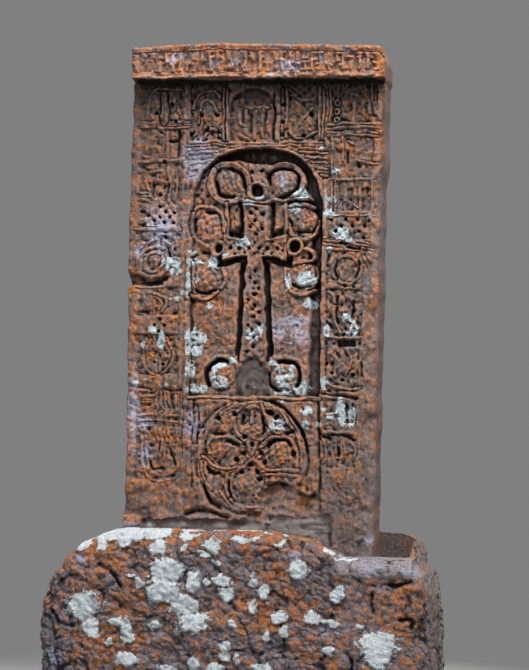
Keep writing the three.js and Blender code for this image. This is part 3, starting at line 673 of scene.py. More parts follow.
def carve_niche(face):
    """The arched niche: its frame, the leaves that spring from the cross, the cross, and the worn mound."""
    for inset in (11.0, 23.0):
        face.h -= 4.0 * np.exp(-(((arch_edge(face.U, face.V) - inset) / 2.5) ** 2)) * (face.V > NICHE_SILL)
    for side in (-1, 1):
        for v, start in ((1364, 150), (1346, 176), (1328, 196), (1306, 214), (1284, 230)):
            face.straps(10, 1, (((side * start, v), (side * 252, v - 6)),), ground=-11 - 4 * side)
    face.sink(np.s_[:, :], arch_edge(face.U, face.V), NICHE_GROUND)
    carve_field(face)
    face.buds(BUD_TOP, (
        (-110, 1253, 50), (92, 1253, 52), (-178, 1092, 52), (169, 1117, 48), (-176, 912, 52), (176, 914, 52),
    ))
    face.straps(21, BUD_TOP, (
        ((-164, 1306), (-135, 1321), (-92, 1320), (-58, 1297), (-40, 1262), (-33, 1228)),
        ((-166, 1300), (-182, 1256), (-168, 1212), (-129, 1181), (-90, 1186), (-52, 1192)),
        ((24, 1228), (26, 1290), (68, 1319), (126, 1314), (157, 1278), (160, 1234), (126, 1200)),
    ), groove=4, ground=-30)
    face.straps(13, BUD_TOP, (
        ((-60, 1190), (-5, 1183), (60, 1189), (126, 1190), (200, 1189)), ((-114, 1176), (-114, 1058)),
        ((101, 1174), (101, 1080), (84, 1052), (48, 1044)),
        ((-232, 1150), (-210, 1168), (-155, 1156), (-126, 1122), (-124, 1078)),
        ((-238, 1140), (-246, 1100), (-230, 1046), (-188, 1024), (-158, 1028)),
        ((114, 1104), (128, 1062), (172, 1048), (211, 1068), (222, 1112)),
        ((118, 1166), (166, 1174), (206, 1160)), ((-232, 960), (-238, 900), (-226, 858)),
        ((-240, 845), (-190, 831), (-142, 859)),
        ((102, 950), (104, 900), (130, 858), (176, 846), (214, 866)),
        ((-126, 950), (-112, 910), (-130, 872)),
        ((150, 1016), (196, 1010), (206, 975), (150, 966), (112, 950)),
    ), ground=-31)
    for u in (-82, 76):
        face.sink_box(u - 13, u + 13, 1080, 1172, FIELD_TOP - 2)
    face.cuts(17, 28, (((-62, 1176), (-62, 1062), (-74, 1060)), ((54, 1176), (48, 1062), (60, 1058))))
    face.cuts(24, 26, (((-98, 1068), (-74, 1066)), ((62, 1066), (88, 1070))))
    face.cuts(14, 26, (
        ((-101, 1308), (-66, 1286), (-49, 1240)), ((-162, 1248), (-144, 1212), (-92, 1197)),
        ((36, 1284), (68, 1304), (120, 1306)), ((34, 1268), (36, 1250)),
        ((143, 1268), (135, 1226), (82, 1201)),
    ))
    face.cuts(10, 20, (
        ((-190, 1146), (-152, 1140)), ((-234, 1118), (-232, 1078)), ((118, 1116), (120, 1100)),
        ((216, 1116), (214, 1092)), ((148, 1074), (186, 1072)), ((-224, 862), (-190, 852), (-152, 864)),
        ((132, 886), (164, 872), (202, 880)), ((206, 960), (216, 920)), ((-196, 1004), (-168, 1000)),
        ((112, 1184), (190, 1180)),
    ))
    carve_great_cross(face)
    for u, v, radius in ((-5, 1225, 21), (-145, 1012, 15), (139, 1022, 20)):
        face.strap(ring_path(u, v, radius + 7), 12, BUD_TOP, groove=2, moat=2, ground=-28)
        face.sink_disc(u, v, radius - 1, -50)
    for tip in (-36, -3, 28):
        face.leaf((CROSS_AXIS + 3, 1248), (tip, 1328), 27, BUD_TOP)
    face.holes(8, 20, ((-24, 1292), (14, 1296)))
    for u, v, start, sweep in ((-122, 551, 75, 140), (106, 551, 105, -140)):
        face.sink_disc(u, v, 55, FIELD_TOP - 8)
        face.lobes(u, v, 52, BUD_TOP)
        face.groove(ring_path(u, v, 56, start, sweep), 15, 36)
        more = 20 * np.sign(sweep)
        face.strap(ring_path(u, v, 71, start - more, sweep + more), 12, FIELD_TOP + 4, groove=2)
    face.groove(ring_path(106, 551, 56, 170, 85), 12, 30)
    window, U, V = face.patch(-100, 90, NICHE_SILL, 640)
    inside = smooth(5, -9, np.abs(U - CROSS_AXIS + 2) - mound_half_at(V)) * smooth(628, 612, V)
    face.cover(window, inside, -27 - 6 * ((U - CROSS_AXIS) / 60) ** 2 - 8 * smooth(590, 625, V))


def carve_medallion(face):
    """The round medallion: a double ring, leaf buds on crossing straps, and small holes between."""
    u, v, radius = MEDALLION_AXIS, MEDALLION_CENTRE, MEDALLION_RADIUS
    for left in (-240, 176):
        face.knot_panel(left, left + 64, 300, 462, 44, 52, -2, 6, 9)
    face.strap([(-NICHE_HALF - 4, 473), (NICHE_HALF + 4, 473)], 15, 0, groove=3, moat=3, ground=-13)
    face.cuts(9, 9, (((-226, 96), (-222, 458)), ((-206, 150), (-204, 440))))
    face.groove([(248, 0), (246, 260), (236, 458)], 11, 15)
    window, U, V = face.patch(u - radius - 12, u + radius + 12, v - radius - 12, v + radius + 12)
    away = np.hypot(U - u, V - v) - radius
    face.h[window] -= 10.0 * np.exp(-(((away - 4) / 5.0) ** 2)) + 5.0 * np.exp(-(((away + 15) / 2.6) ** 2))
    face.cover(window, smooth(-26, -30, away), face.knotwork(window, 46, 46, -6, 12, 9))
    face.straps(12, 0, (
        ((-32, 452), (-62, 424), (-71, 374), (-54, 336), (-23, 308)),
        ((26, 452), (48, 413), (62, 374), (48, 341), (15, 313)), ((-4, 425), (-6, 384)),
        ((26, 297), (54, 325), (93, 337), (137, 319), (162, 275), (162, 230)),
        ((-140, 327), (-95, 333), (-57, 313), (-37, 280)),
        ((-184, 258), (-145, 230), (-101, 217), (-54, 217)),
        ((-184, 244), (-150, 214), (-104, 203), (-58, 204)), ((-93, 200), (-93, 140), (-73, 97)),
        ((-74, 196), (-76, 140), (-60, 106)), ((21, 192), (34, 164), (15, 118)),
        ((-190, 241), (-178, 175), (-151, 140)), ((-174, 236), (-163, 180), (-140, 150)),
        ((-118, 131), (-79, 81)), ((43, 215), (165, 215)), ((43, 199), (165, 197)),
        ((-23, 308), (4, 252), (48, 208)), ((15, 313), (-12, 252), (-57, 208)),
        ((-40, 280), (0, 246), (44, 284)), ((-36, 222), (0, 252), (40, 224)),
        ((-146, 380), (-110, 424), (-60, 446)), ((-124, 350), (-86, 360), (-72, 400)),
        ((70, 440), (112, 410), (150, 350)), ((62, 372), (92, 350), (130, 352)),
        ((-150, 330), (-166, 300), (-160, 270)),
    ), ground=-14)
    face.buds(0, [(u + du, v + dv, r) for du, dv, r in (
        (3, 179, 17), (-23, 95, 22), (19, 96, 24), (-91, 137, 26), (-144, 110, 24), (-97, 101, 24),
        (108, 10, 45), (-72, 24, 35), (-127, 18, 26), (-11, -98, 46), (-138, -98, 28), (89, -90, 24),
        (133, -87, 27), (86, 123, 26), (120, 90, 20),
    )])
    face.holes(9, 24, (
        (-4, 305), (-35, 272), (29, 272), (-62, 247), (46, 244), (-10, 233), (-43, 205), (21, 211),
        (-131, 399), (-68, 413), (85, 405), (-37, 330), (151, 275), (57, 424), (26, 181),
    ))
    face.cuts(12, 22, (
        ((-37, 413), (-43, 378)), ((32, 408), (37, 369), (31, 347)),
        ((51, 305), (87, 322), (120, 319), (140, 302)), ((-95, 316), (-57, 302)),
        ((-162, 217), (-140, 194), (-118, 200)), ((-84, 166), (-79, 114)), ((-138, 341), (-112, 341)),
        ((120, 346), (146, 350)), ((48, 428), (70, 420)), ((-180, 150), (-150, 100), (-118, 72)),
        ((60, 462), (130, 420), (178, 350), (196, 280)),
    ))


# The weathered stretches of the face: where the worn right edge begins at heights v, then the middles and
# half sizes of the spall under the medallion and of the bite out of the left edge.
WORN_EDGE = ((0, 388), (380, 396), (700, 412), (900, 424), (1250, 432), (1500, 440), (1620, 448))
SPALL_U, SPALL_V = 130, 66
SPALL_STRETCH = 1.35
SPALL_HALF = 108
BITE_U, BITE_V = -452, 892
BITE_HALF_WIDTH = 60
BITE_HALF_HEIGHT = 20
FOOT_TOP = 48


def worn_away(face):
    """Where the face has weathered smooth, from nought to one, and the surface left there."""
    U, V = face.U, face.V
    shape = U.shape
    ragged = 16 * grain(shape, 9, 21) + 7 * grain(shape, 3, 22)
    limit = outline(V, WORN_EDGE)
    right_edge = smooth(-14, 22, U + ragged - limit) * (V < CORNICE_LOW - 8)
    spall = np.hypot((U - SPALL_U) / SPALL_STRETCH, V - SPALL_V) - SPALL_HALF
    broken = smooth(10, -14, spall + 1.2 * ragged) * smooth(252, 240, U)
    foot = smooth(FOOT_TOP, FOOT_TOP - 18, V + 0.5 * ragged - 0.03 * U) * smooth(300, 280, U)
    left_foot = smooth(168, 130, V + ragged) * (U < -190)
    bite = np.hypot((U - BITE_U) / BITE_HALF_WIDTH, (V - BITE_V) / BITE_HALF_HEIGHT)
    bite = smooth(1.0, 0.6, bite + 0.012 * ragged)
    lumps = 3.5 * grain(shape, 8, 23) + 1.6 * grain(shape, 3, 24)
    surface = -9 - 0.12 * np.clip(U - limit, 0, 60) + lumps
    surface = np.where(broken > right_edge, -19 + 1.7 * lumps, surface)
    surface = np.where(left_foot > 0.01, -7 + lumps, surface)
    layers = 1.5 * grain(shape, 14, 27, 1.6)
    surface = np.where(foot > 0.2, -17 + 0.5 * lumps + layers - 0.06 * (FOOT_TOP - V), surface)
    surface = np.where(bite > 0.05, -26 + lumps, surface)
    share = np.maximum.reduce([0.75 * right_edge, broken, foot, 0.75 * left_foot, bite])
    return share, surface, foot, broken


def weather(face):
    """Wears the carving: wandering lines, soft and lost stretches, flakes at the foot, pits and grain."""
    shape = face.h.shape
    share, surface, foot, broken = worn_away(face)
    wander = [1.9 * grain(shape, 7, seed) + 0.8 * grain(shape, 2.5, seed + 10) for seed in (61, 62)]
    face.h = sample(face.h, face, face.U + wander[0], face.V + wander[1])
    effaced = smooth(-0.9, 1.3, grain(shape, 14, 25)) * (0.35 + 0.65 * smooth(0.0, 1.0, grain(shape, 5, 26)))
    effaced = np.maximum(effaced, 0.65 * smooth(-235, -255, face.U) * smooth(540, 480, face.V))
    keep_deep = smooth(-46, -34, face.h)
    face.h += 0.62 * effaced * keep_deep * (blur(face.h, 2.6) - 1.0 - face.h)
    face.h += 0.2 * keep_deep * (face.h - blur(face.h, 1.7))
    face.h = blur(face.h, 0.4)
    face.h += share * (surface - face.h)
    face.groove(flow((-242, 48), (-200, 62), (-150, 58), (-92, 38)), 20, 18)
    face.cuts(17, 24, (
        ((-455, 914), (-424, 900), (-392, 887), (-335, 900)), ((-455, 890), (-410, 878), (-352, 884)),
    ))
    chipped = smooth(0.3, 1.5, grain(shape, 6, 38)) + 0.6 * smooth(0.6, 1.6, grain(shape, 2.2, 39))
    face.h -= 12.0 * chipped * smooth(CORNICE_LOW + 20, CORNICE_LOW + 4, face.V) * (face.V > CORNICE_LOW)
    gentle = 1.0 - 0.45 * share
    face.h += gentle * (1.6 * grain(shape, 12, 31) + 1.3 * grain(shape, 4, 32) + 1.4 * grain(shape, 1.7, 33))
    face.h += gentle * (0.5 * grain(shape, 7.0, 36, 1.3) + 1.1 * grain(shape, 1.3, 37, 7.0))
    face.h -= 4.4 * gentle * smooth(1.3, 2.4, grain(shape, 1.8, 34))
    crust = smooth(0.42, 0.6, patch_field(face.U, face.V, SLAB_PALE) + 0.12 * grain(shape, 2.5, 35))
    face.h += 1.8 * crust
    rim = np.minimum(FACE_HALF - face.U, FACE_TOP - face.V)
    under_cornice = face.V < CORNICE_LOW
    for room, width, drop, stretch in (
        (rim, 30.0, 24.0, under_cornice),
        (FACE_HALF + face.U, 9.0, 8.0, True),
        (rim, 11.0, 10.0, ~under_cornice),
    ):
        rolled = np.clip(1.0 - room / width, 0.0, 1.0) * stretch
        face.h -= drop * (1.0 - np.sqrt(np.clip(1.0 - rolled**2, 0.0, 1.0)))
    return share, foot, broken


# The slab's worn outline: how far its left and right edges lie right of a plumb line at heights v, and how
# far its top lies above a level line at places u.
LEFT_EDGE = (
    (30, -22), (90, -13), (160, -10), (860, -16), (886, -8), (910, -20), (1300, -15), (1500, -12), (1623, -9),
    (1626, -8),
)
RIGHT_EDGE = (
    (-105, -15), (650, -12), (1270, -8), (1310, 0), (1623, 0), (1626, 8), (1700, 6), (1740, -4),
)
TOP_EDGE = ((-455, -3), (-160, 10), (60, 6), (420, -4), (455, -8))


def outline(places, points):
    """The offset at places along an edge, straight between its points."""
    return np.interp(places, *zip(*points))


def place_on_slab(u, v, height):
    """World coordinates of places on the slab, with its edges chipped and worn as the stone is."""
    left, right = outline(v, LEFT_EDGE), outline(v, RIGHT_EDGE)
    waver = 1.6 * np.sin(v / 37.0) + 1.1 * np.sin(v / 13.0 + 1.0)
    crest = outline(u, TOP_EDGE) + 1.2 * np.sin(u / 29.0)
    x = u + (left + waver) * smooth(-380, -FACE_HALF, u) + (right - waver) * smooth(380, FACE_HALF, u)
    z = v + crest * smooth(1640, FACE_TOP, v)
    return np.stack([SLAB_AXIS + x * MM, SLAB_FRONT - height * MM, PLINTH_TOP + z * MM], axis=1)


def patch_field(across, up, patches):
    """One at the middle of a patch, a half at its rim, and nought far away."""
    field = np.zeros(np.shape(across))
    for u, v, half_width, half_height in patches:
        reach = np.hypot((across - u) / half_width, (up - v) / half_height)
        field = np.maximum(field, 1.0 - 0.5 * reach)
    return field


def sample(field, face, u, v):
    """A map's value at scattered places, blended between its cells."""
    column = np.clip((u + FACE_HALF) / (face.u[1] - face.u[0]), 0, len(face.u) - 1.001)
    row = np.clip((v - FACE_LOW) / (face.v[1] - face.v[0]), 0, len(face.v) - 1.001)
    c, r = column.astype(int), row.astype(int)
    fc, fr = column - c, row - r
    low = field[r, c] * (1 - fc) + field[r, c + 1] * fc
    high = field[r + 1, c] * (1 - fc) + field[r + 1, c + 1] * fc
    return low * (1 - fr) + high * fr


def vertex_places(mesh):
    """A mesh's vertices as rows of x, y and z."""
    places = np.empty(len(mesh.vertices) * 3, np.float32)
    mesh.vertices.foreach_get("co", places)
    return places.reshape(-1, 3).astype(float)


def set_vertex_places(mesh, places):
    """Moves all of a mesh's vertices."""
    mesh.vertices.foreach_set("co", np.asarray(places, np.float32).ravel())
    mesh.update()


def vertex_normals(mesh):
    """Which way the mesh faces at each vertex."""
    normals = np.empty(len(mesh.vertices) * 3, np.float32)
    mesh.vertex_normals.foreach_get("vector", normals)
    return normals.reshape(-1, 3).astype(float)


def set_attribute(mesh, name, values):
    """Stores a number on each vertex for the finish to read."""
    attribute = mesh.attributes.get(name) or mesh.attributes.new(name, "FLOAT", "POINT")
    attribute.data.foreach_set("value", np.asarray(values, np.float32))


def start_piece():
    """Leaves edit mode and deselects everything."""
    if bpy.context.object and bpy.context.object.mode != "OBJECT":
        bpy.ops.object.mode_set(mode="OBJECT")
    bpy.ops.object.select_all(action="DESELECT")


def select_only(*pieces):
    """Selects these pieces alone and makes the last one active."""
    start_piece()
    for piece in pieces:
        piece.select_set(True)
    bpy.context.view_layer.objects.active = pieces[-1]


def apply_decimate(piece, triangles):
    """Thins a mesh to about a number of triangles, keeping its edges."""
    now = sum(len(p.vertices) - 2 for p in piece.data.polygons)
    if now <= triangles:
        return
    modifier = piece.modifiers.new("thin", "DECIMATE")
    modifier.ratio = triangles / now
    bpy.ops.object.modifier_apply(modifier=modifier.name)


# One subdivide makes at most a hundred cuts, so an edge is first cut in thirds and then each third again.
THIRDS = 3
# What counts as touching an end of a cube from 0 to 1.
TOUCH = 1e-4


def slices(length, cell):
    """How many slices of about one cell a length gets, in whole thirds."""
    return THIRDS * max(1, round(length / cell / THIRDS))


def cut_cube(name, counts):
    """A cube from 0 to 1 each way, cut into even slices along X, Y and Z by the given counts."""
    start_piece()
    bpy.ops.mesh.primitive_cube_add(size=1.0, location=(0.5, 0.5, 0.5))
    piece = bpy.context.object
    bpy.ops.object.transform_apply(location=True, rotation=False, scale=False)
    piece.name = piece.data.name = name
    bpy.ops.object.mode_set(mode="EDIT")
    bpy.ops.mesh.select_mode(type="EDGE")
    cuts = [(axis, parts) for axis, count in enumerate(counts) for parts in (THIRDS, count // THIRDS)]
    for axis, parts in cuts:
        bpy.ops.object.mode_set(mode="OBJECT")
        mesh = piece.data
        places = vertex_places(mesh)
        ends = np.array([edge.vertices[:] for edge in mesh.edges])
        along = np.abs(places[ends[:, 0]] - places[ends[:, 1]])
        mesh.vertices.foreach_set("select", np.zeros(len(mesh.vertices), bool))
        mesh.polygons.foreach_set("select", np.zeros(len(mesh.polygons), bool))
        mesh.edges.foreach_set("select", along[:, axis] > TOUCH)
        bpy.ops.object.mode_set(mode="EDIT")
        bpy.ops.mesh.subdivide(number_cuts=parts - 1)
    bpy.ops.object.mode_set(mode="OBJECT")
    return piece


def delete_chosen(piece, element, parts, chosen, kind):
    """Deletes the chosen vertices or faces of a piece."""
    select_only(piece)
    bpy.ops.object.mode_set(mode="EDIT")
    bpy.ops.mesh.select_mode(type=element)
    bpy.ops.mesh.select_all(action="DESELECT")
    bpy.ops.object.mode_set(mode="OBJECT")
    parts.foreach_set("select", chosen)
    bpy.ops.object.mode_set(mode="EDIT")
    bpy.ops.mesh.delete(type=kind)
    bpy.ops.object.mode_set(mode="OBJECT")


def close_front(piece):
    """Joins the two open rims of a piece with a strip of faces, and turns all faces outwards."""
    select_only(piece)
    bpy.ops.object.mode_set(mode="EDIT")
    bpy.ops.mesh.select_mode(type="EDGE")
    bpy.ops.mesh.select_all(action="DESELECT")
    bpy.ops.mesh.select_non_manifold(extend=False, use_boundary=True, use_wire=False, use_multi_face=False,
                                     use_non_contiguous=False, use_verts=False)
    bpy.ops.mesh.bridge_edge_loops()
    bpy.ops.mesh.select_all(action="SELECT")
    bpy.ops.mesh.normals_make_consistent(inside=False)
    bpy.ops.object.mode_set(mode="OBJECT")


def slab_front(face):
    """The carved face as a fine grid."""
    start_piece()
    columns, rows = len(face.u), len(face.v)
    bpy.ops.mesh.primitive_grid_add(x_subdivisions=columns - 1, y_subdivisions=rows - 1, size=2.0)
    piece = bpy.context.object
    places = vertex_places(piece.data)
    column = np.rint((places[:, 0] + 1.0) * 0.5 * (columns - 1)).astype(int)
    row = np.rint((places[:, 1] + 1.0) * 0.5 * (rows - 1)).astype(int)
    set_vertex_places(piece.data, place_on_slab(face.u[column], face.v[row], face.h[row, column]))
    return piece


def slab_body(cell):
    """The slab's sides, top, back and foot, open at the front behind the carved face."""
    lengths = (2 * FACE_HALF, SLAB_THICKNESS, FACE_TOP - FACE_LOW)
    piece = cut_cube("cross_slab_body", [slices(length, cell) for length in lengths])
    mesh = piece.data
    centres = np.empty(len(mesh.polygons) * 3, np.float32)
    mesh.polygons.foreach_get("center", centres)
    delete_chosen(piece, "FACE", mesh.polygons, centres.reshape(-1, 3)[:, 1] < TOUCH, "ONLY_FACE")
    share = vertex_places(mesh)
    across = share[:, [0, 2]]
    inside = np.all((across > TOUCH) & (across < 1.0 - TOUCH), axis=1)
    delete_chosen(piece, "VERT", mesh.vertices, inside & (share[:, 1] < TOUCH), "VERT")
    share = vertex_places(mesh)
    u = FACE_HALF * (2 * share[:, 0] - 1)
    v = FACE_LOW + (FACE_TOP - FACE_LOW) * share[:, 2]
    set_back = np.where(v > CORNICE_LOW, CORNICE_SET_BACK - CORNICE_REACH, BODY_SET_BACK)
    depth = set_back + (SLAB_THICKNESS - set_back) * share[:, 1]
    set_vertex_places(mesh, place_on_slab(u, v, -depth))
    normals = vertex_normals(mesh)
    places = vertex_places(mesh) / MM
    rough = (
        6.0 * lattice_noise(places, 170.0, 41)
        + 4.6 * lattice_noise(places, 62.0, 42)
        + 2.8 * lattice_noise(askew(places), 26.0, 43)
        - 0.5 * creases(places)
    ) * (1.0 - 0.75 * np.abs(normals[:, 0]))
    fade = smooth(0.0, 0.22, share[:, 1]) * smooth(-0.001, 0.05, share[:, 2])
    inward = -1.0 - 6.0 * (share[:, 1] > 0.999)
    set_vertex_places(mesh, (places + normals * ((rough + inward) * fade)[:, None]) * MM)
    return piece


# How far behind the dressed face a place still takes the carved face's finish: on the cornice, in the carving
# and outside it, where the slab's edges start.
CORNICE_DEPTH = -30.0
CARVED_DEPTH = 90.0
EDGE_DEPTH = 30.0
CARVED_HALF = 432.0


def slab_finish(piece, face, share, foot, broken):
    """Stores on each vertex what the stone's finish reads: hollows, where it paints shade and highlights,
    lichen, stone that has lost its skin, orange stone, and painted shade.
    """
    mesh = piece.data
    places = vertex_places(mesh)
    u = (places[:, 0] - SLAB_AXIS) / MM
    v = (places[:, 2] - PLINTH_TOP) / MM
    depth = (places[:, 1] - SLAB_FRONT) / MM
    limit = np.where(np.abs(u) < CARVED_HALF, CARVED_DEPTH, EDGE_DEPTH)
    limit = np.where(v > CORNICE_LOW, CORNICE_DEPTH, limit)
    on_face = smooth(0.0, -8.0, depth - limit) * (depth < limit)
    # How far each place lies below its surroundings: the finish paints shade into the hollows and a highlight
    # onto what stands out.
    narrow, broad = ((blur(face.h, width) - face.h) / full for width, full in ((3.4, 5.6), (13.0, 15.0)))
    hollow = 0.62 * narrow + 0.38 * broad - 0.3 * share
    rim = np.minimum(FACE_HALF - np.abs(face.U), FACE_TOP - face.V)
    hollow = np.maximum(hollow, -0.6) * smooth(0.0, 12.0, rim) * np.where(face.V > CORNICE_LOW, 0.65, 1.0)
    # The niche's right jamb lies in the lamps' own shadow, so the painted shade there is eased and, below,
    # the orange thinned.
    jamb = smooth(150, 166, face.U) * smooth(1350, 1250, face.V) * smooth(-32, -38, face.h)
    hollow = hollow * (1.0 - 0.62 * jamb)
    # Less painted shade on the leaves left of the cross, in the niche's field, in the medallion, on the
    # cornice and on the right rim.
    left_leaves = smooth(-238, -230, face.U) * smooth(-90, -120, face.U)
    left_leaves = left_leaves * smooth(850, 890, face.V) * smooth(1190, 1150, face.V)
    hollow -= 0.25 * left_leaves
    medallion = np.hypot(face.U - MEDALLION_AXIS, face.V - MEDALLION_CENTRE) < MEDALLION_RADIUS
    hollow -= 0.09 * (((arch_edge(face.U, face.V) < 0.0) & (face.h > -40.0)) | medallion)
    hollow -= 0.08 * (face.V > CORNICE_LOW) + 0.1 * smooth(385, 415, face.U) * (face.V < CORNICE_LOW)
    orange = orange_share(face) - 0.25 * jamb + 0.08 * broken
    mound = mound_share(face)
    worn_edge = 0.42 * share * smooth(350, 400, face.U)
    bare_and_lit = np.clip(0.95 * foot + 0.2 * broken + 0.6 * mound + worn_edge, 0, 1)
    # Painted shade under the cornice, growing towards it, and a plain darkening of the worn mound.
    shade = np.maximum(smooth(1060, 1660, face.V) * (face.V < CORNICE_LOW), 1.15 * mound)
    pale = np.minimum(patch_field(face.U, face.V, SLAB_PALE), SLAB_PALE_MOST)
    lilac = np.maximum(patch_field(face.U, face.V, SLAB_LILAC), 0.2 * (face.V > CORNICE_LOW))
    around = places / MM
    loose = 0.5 + 0.5 * lattice_noise(around, 210.0, 51)
    # The slab's right side is lightened as painted light, and takes less painted shade.
    right_side = smooth(425, 440, u)
    rough = 0.16 * lattice_noise(around, 24.0, 52) + 0.035 * creases(around)
    spots = np.minimum(rosettes(around, 125.0, 53, 0.5), SLAB_PALE_MOST) * smooth(60, 150, depth)
    for name, field, elsewhere in (
        ("hollow", hollow, rough - 0.45 - 0.2 * right_side),
        ("orange", orange, 0.23 + 0.36 * loose),
        ("bare_and_lit", bare_and_lit, 0.2 * right_side),
        ("painted_shade_and_darkening", shade, 0.0 * u),
        ("pale", pale, spots * smooth(440, 420, u)),
        ("lilac", lilac, 0.5 * (0.5 + 0.5 * lattice_noise(around, 150.0, 54))),
    ):
        set_attribute(mesh, name, on_face * sample(field, face, u, v) + (1 - on_face) * elsewhere)


def mound_half_at(v):
    """Half the width of the mound under the cross, which narrows upwards."""
    return 64.0 - 46.0 * smooth(545, 632, v)


def mound_share(face):
    """Where the mound under the cross has lost its carving."""
    inside = smooth(6, -8, np.abs(face.U - CROSS_AXIS) - mound_half_at(face.V))
    return inside * smooth(482, 490, face.V) * smooth(628, 612, face.V)


def orange_share(face):
    """How much of the orange lichen grows on each part of the face."""
    U, V = face.U, face.V
    share = np.full(U.shape, 0.43)
    share += 0.05 * smooth(-285, -300, U) * smooth(60, 160, V) * smooth(860, 760, V)
    share += 0.07 * (V > CORNICE_LOW)
    share += 0.06 * smooth(250, 262, U) * smooth(1180, 1300, V) * (V < CORNICE_LOW)
    share += 0.10 * smooth(-236, -226, U) * smooth(-50, -60, U) * smooth(640, 660, V) * smooth(860, 830, V)
    share -= 0.06 * smooth(250, 262, U) * (V < CORNICE_LOW)
    share += 0.12 * smooth(405, 440, U)
    # Thinner orange lichen under the cornice, partly as painted shade.
    share -= 0.09 * smooth(1470, 1560, V) * (V < CORNICE_LOW)
    share -= 0.08 * smooth(180, 60, V)
    share -= 0.06 * smooth(170, 140, np.abs(U)) * smooth(600, 640, V) * smooth(1340, 1300, V)
    return share


# The socket in the plinth's top, in millimetres.
SOCKET_LEFT = SLAB_LOW.x / MM - 20.0
SOCKET_RIGHT = SLAB_AXIS / MM + FACE_HALF + 116.0
SOCKET_FRONT = SLAB_FRONT / MM - 20.0
SOCKET_BACK = SLAB_HIGH.y / MM + 20.0
SOCKET_FLOOR = SLAB_LOW.z / MM - 0.4
# The dressed lip in front of the socket's right end: where it falls away, and how far.
LIP = ((126, 0), (290, 30), (372, 70), (392, 84))
# The big worn left shoulder, the rounded rims and upright corners, and how far the top falls to the back.
SHOULDER_START = 360.0
SHOULDER_DROP = 310.0
RIM_FRONT = 66.0
RIM_LIP = 52.0
RIM_BACK = 74.0
CORNER = 30.0
BACK_DROP = 26.0
# How much narrower the block is at its left and right ends, and how far right its foot leans, all along and
# at the right end.
PINCH_LEFT = 0.10
PINCH_RIGHT = 0.03
LEAN = 12.0
LEAN_AT_END = 6.0
# Splits in the plinth's front, as x and z along each.
PLINTH_SPLITS = (
    ((508, 394), (502, 362), (511, 330)), ((604, 306), (630, 310), (646, 306), (644, 282)),
    ((560, 430), (590, 424), (640, 440)), ((-640, 300), (-610, 262), (-560, 250)),
    ((-470, 470), (-420, 440), (-390, 400)), ((420, 190), (440, 150), (430, 110)),
)
# The worn right end, seen from the front: how far in from the end, and how far below the top.
WORN_END = (
    (0, 210), (10, 160), (18, 138), (52, 106), (62, 68), (82, 32), (110, 17), (140, 10), (200, 8), (260, 0),
)


def quarter_drop(run, drop, fullness=2.0):
    """How far a quarter oval has fallen at a share of its run."""
    return drop * (1.0 - np.clip(1.0 - np.clip(run, 0.0, 1.0) ** fullness, 0.0, 1.0) ** (1.0 / fullness))


def in_socket(x, y, margin=0.0):
    """Whether places in plan lie in the socket or within a margin of it."""
    return (
        (x > SOCKET_LEFT - margin) & (x < SOCKET_RIGHT + margin)
        & (y > SOCKET_FRONT - margin) & (y < SOCKET_BACK + margin)
    )


def plinth_top_at(x, y):
    """The plinth's height at places in plan: its worn shoulders, rounded rims, socket and lowered lip."""
    half_x, half_y = PLINTH_HIGH.x / MM, PLINTH_HIGH.y / MM
    shoulder = quarter_drop((-SHOULDER_START - x) / (half_x - SHOULDER_START), SHOULDER_DROP, 1.8)
    worn_end = outline(half_x - x, WORN_END)
    lip = outline(x, LIP)
    lip = lip * np.where(x < SOCKET_RIGHT, y < SOCKET_FRONT, smooth(SOCKET_BACK, SOCKET_FRONT, y))
    rim = np.where(y < 0, np.where(x > 350, RIM_LIP, RIM_FRONT), RIM_BACK)
    rim = quarter_drop(1.0 - (half_y - np.abs(y)) / rim, rim)
    worn = np.maximum(np.maximum(shoulder, worn_end), lip)
    top = PLINTH_TOP / MM - worn - rim - BACK_DROP * smooth(60, 340, y)
    return np.where(in_socket(x, y), SOCKET_FLOOR, top)


def stations(low, high, count, edges, profile):
    """Places from low to high, even along a profile, with a close pair at each edge to keep it sharp."""
    even = np.linspace(low, high, 2001)
    run = np.append(0.0, np.cumsum(np.hypot(np.diff(even), np.diff(profile(even)))))
    places = np.interp(np.linspace(0.0, run[-1], count + 1), run, even)
    for edge in edges:
        n = int(np.searchsorted(places, edge))
        places[n - 1], places[n] = edge - 0.6, edge + 0.6
    return places


def creases(places):
    """How deep the rough stone's creases, crevices and pits are at places, in millimetres."""
    bent = places + np.stack([13.0 * lattice_noise(places, 52.0, seed) for seed in (91, 92, 93)], axis=1)
    bent[:, 0] += 0.45 * bent[:, 2]
    deep = np.exp(-((lattice_noise(bent, 120.0, 63) / 0.08) ** 2))
    large, small, tiny = (np.exp(-((knob_edges(bent, cell, 66) / 0.18) ** 2)) for cell in (58.0, 26.0, 15.0))
    pits = smooth(0.35, 0.8, lattice_noise(askew(places), 19.0, 68))
    return 6.0 * deep + 5.5 * large + 5.0 * small + 3.5 * tiny + 3.0 * pits


def askew(places):
    """The same places on axes that lie along none of the block's faces."""
    return places @ np.array(((0.82, -0.48, 0.31), (0.55, 0.79, -0.24), (-0.14, 0.38, 0.92)))


def furrows(places, normals):
    """Fine upright furrows, from -1 to 1, fainter on the ends."""
    return lattice_noise(askew(places * (1.0, 1.0, 0.4)), 12.0, 67) * (1.0 - 0.6 * np.abs(normals[:, 0]))


def splits(places):
    """How deep the splits near the plinth's right end are."""
    x, y, z = places.T
    depth = np.zeros(len(x))
    for path in PLINTH_SPLITS:
        depth = np.maximum(depth, 17.0 * np.exp(-((path_distance(x, z, flow(*path)) / 6.5) ** 2)))
    return depth * (y < 0)


def dressed_share(x, y, z):
    """Where the lip was cut smooth, in front of the socket's open end."""
    return smooth(350, 390, x) * smooth(440, 466, z) * (y < SOCKET_FRONT)


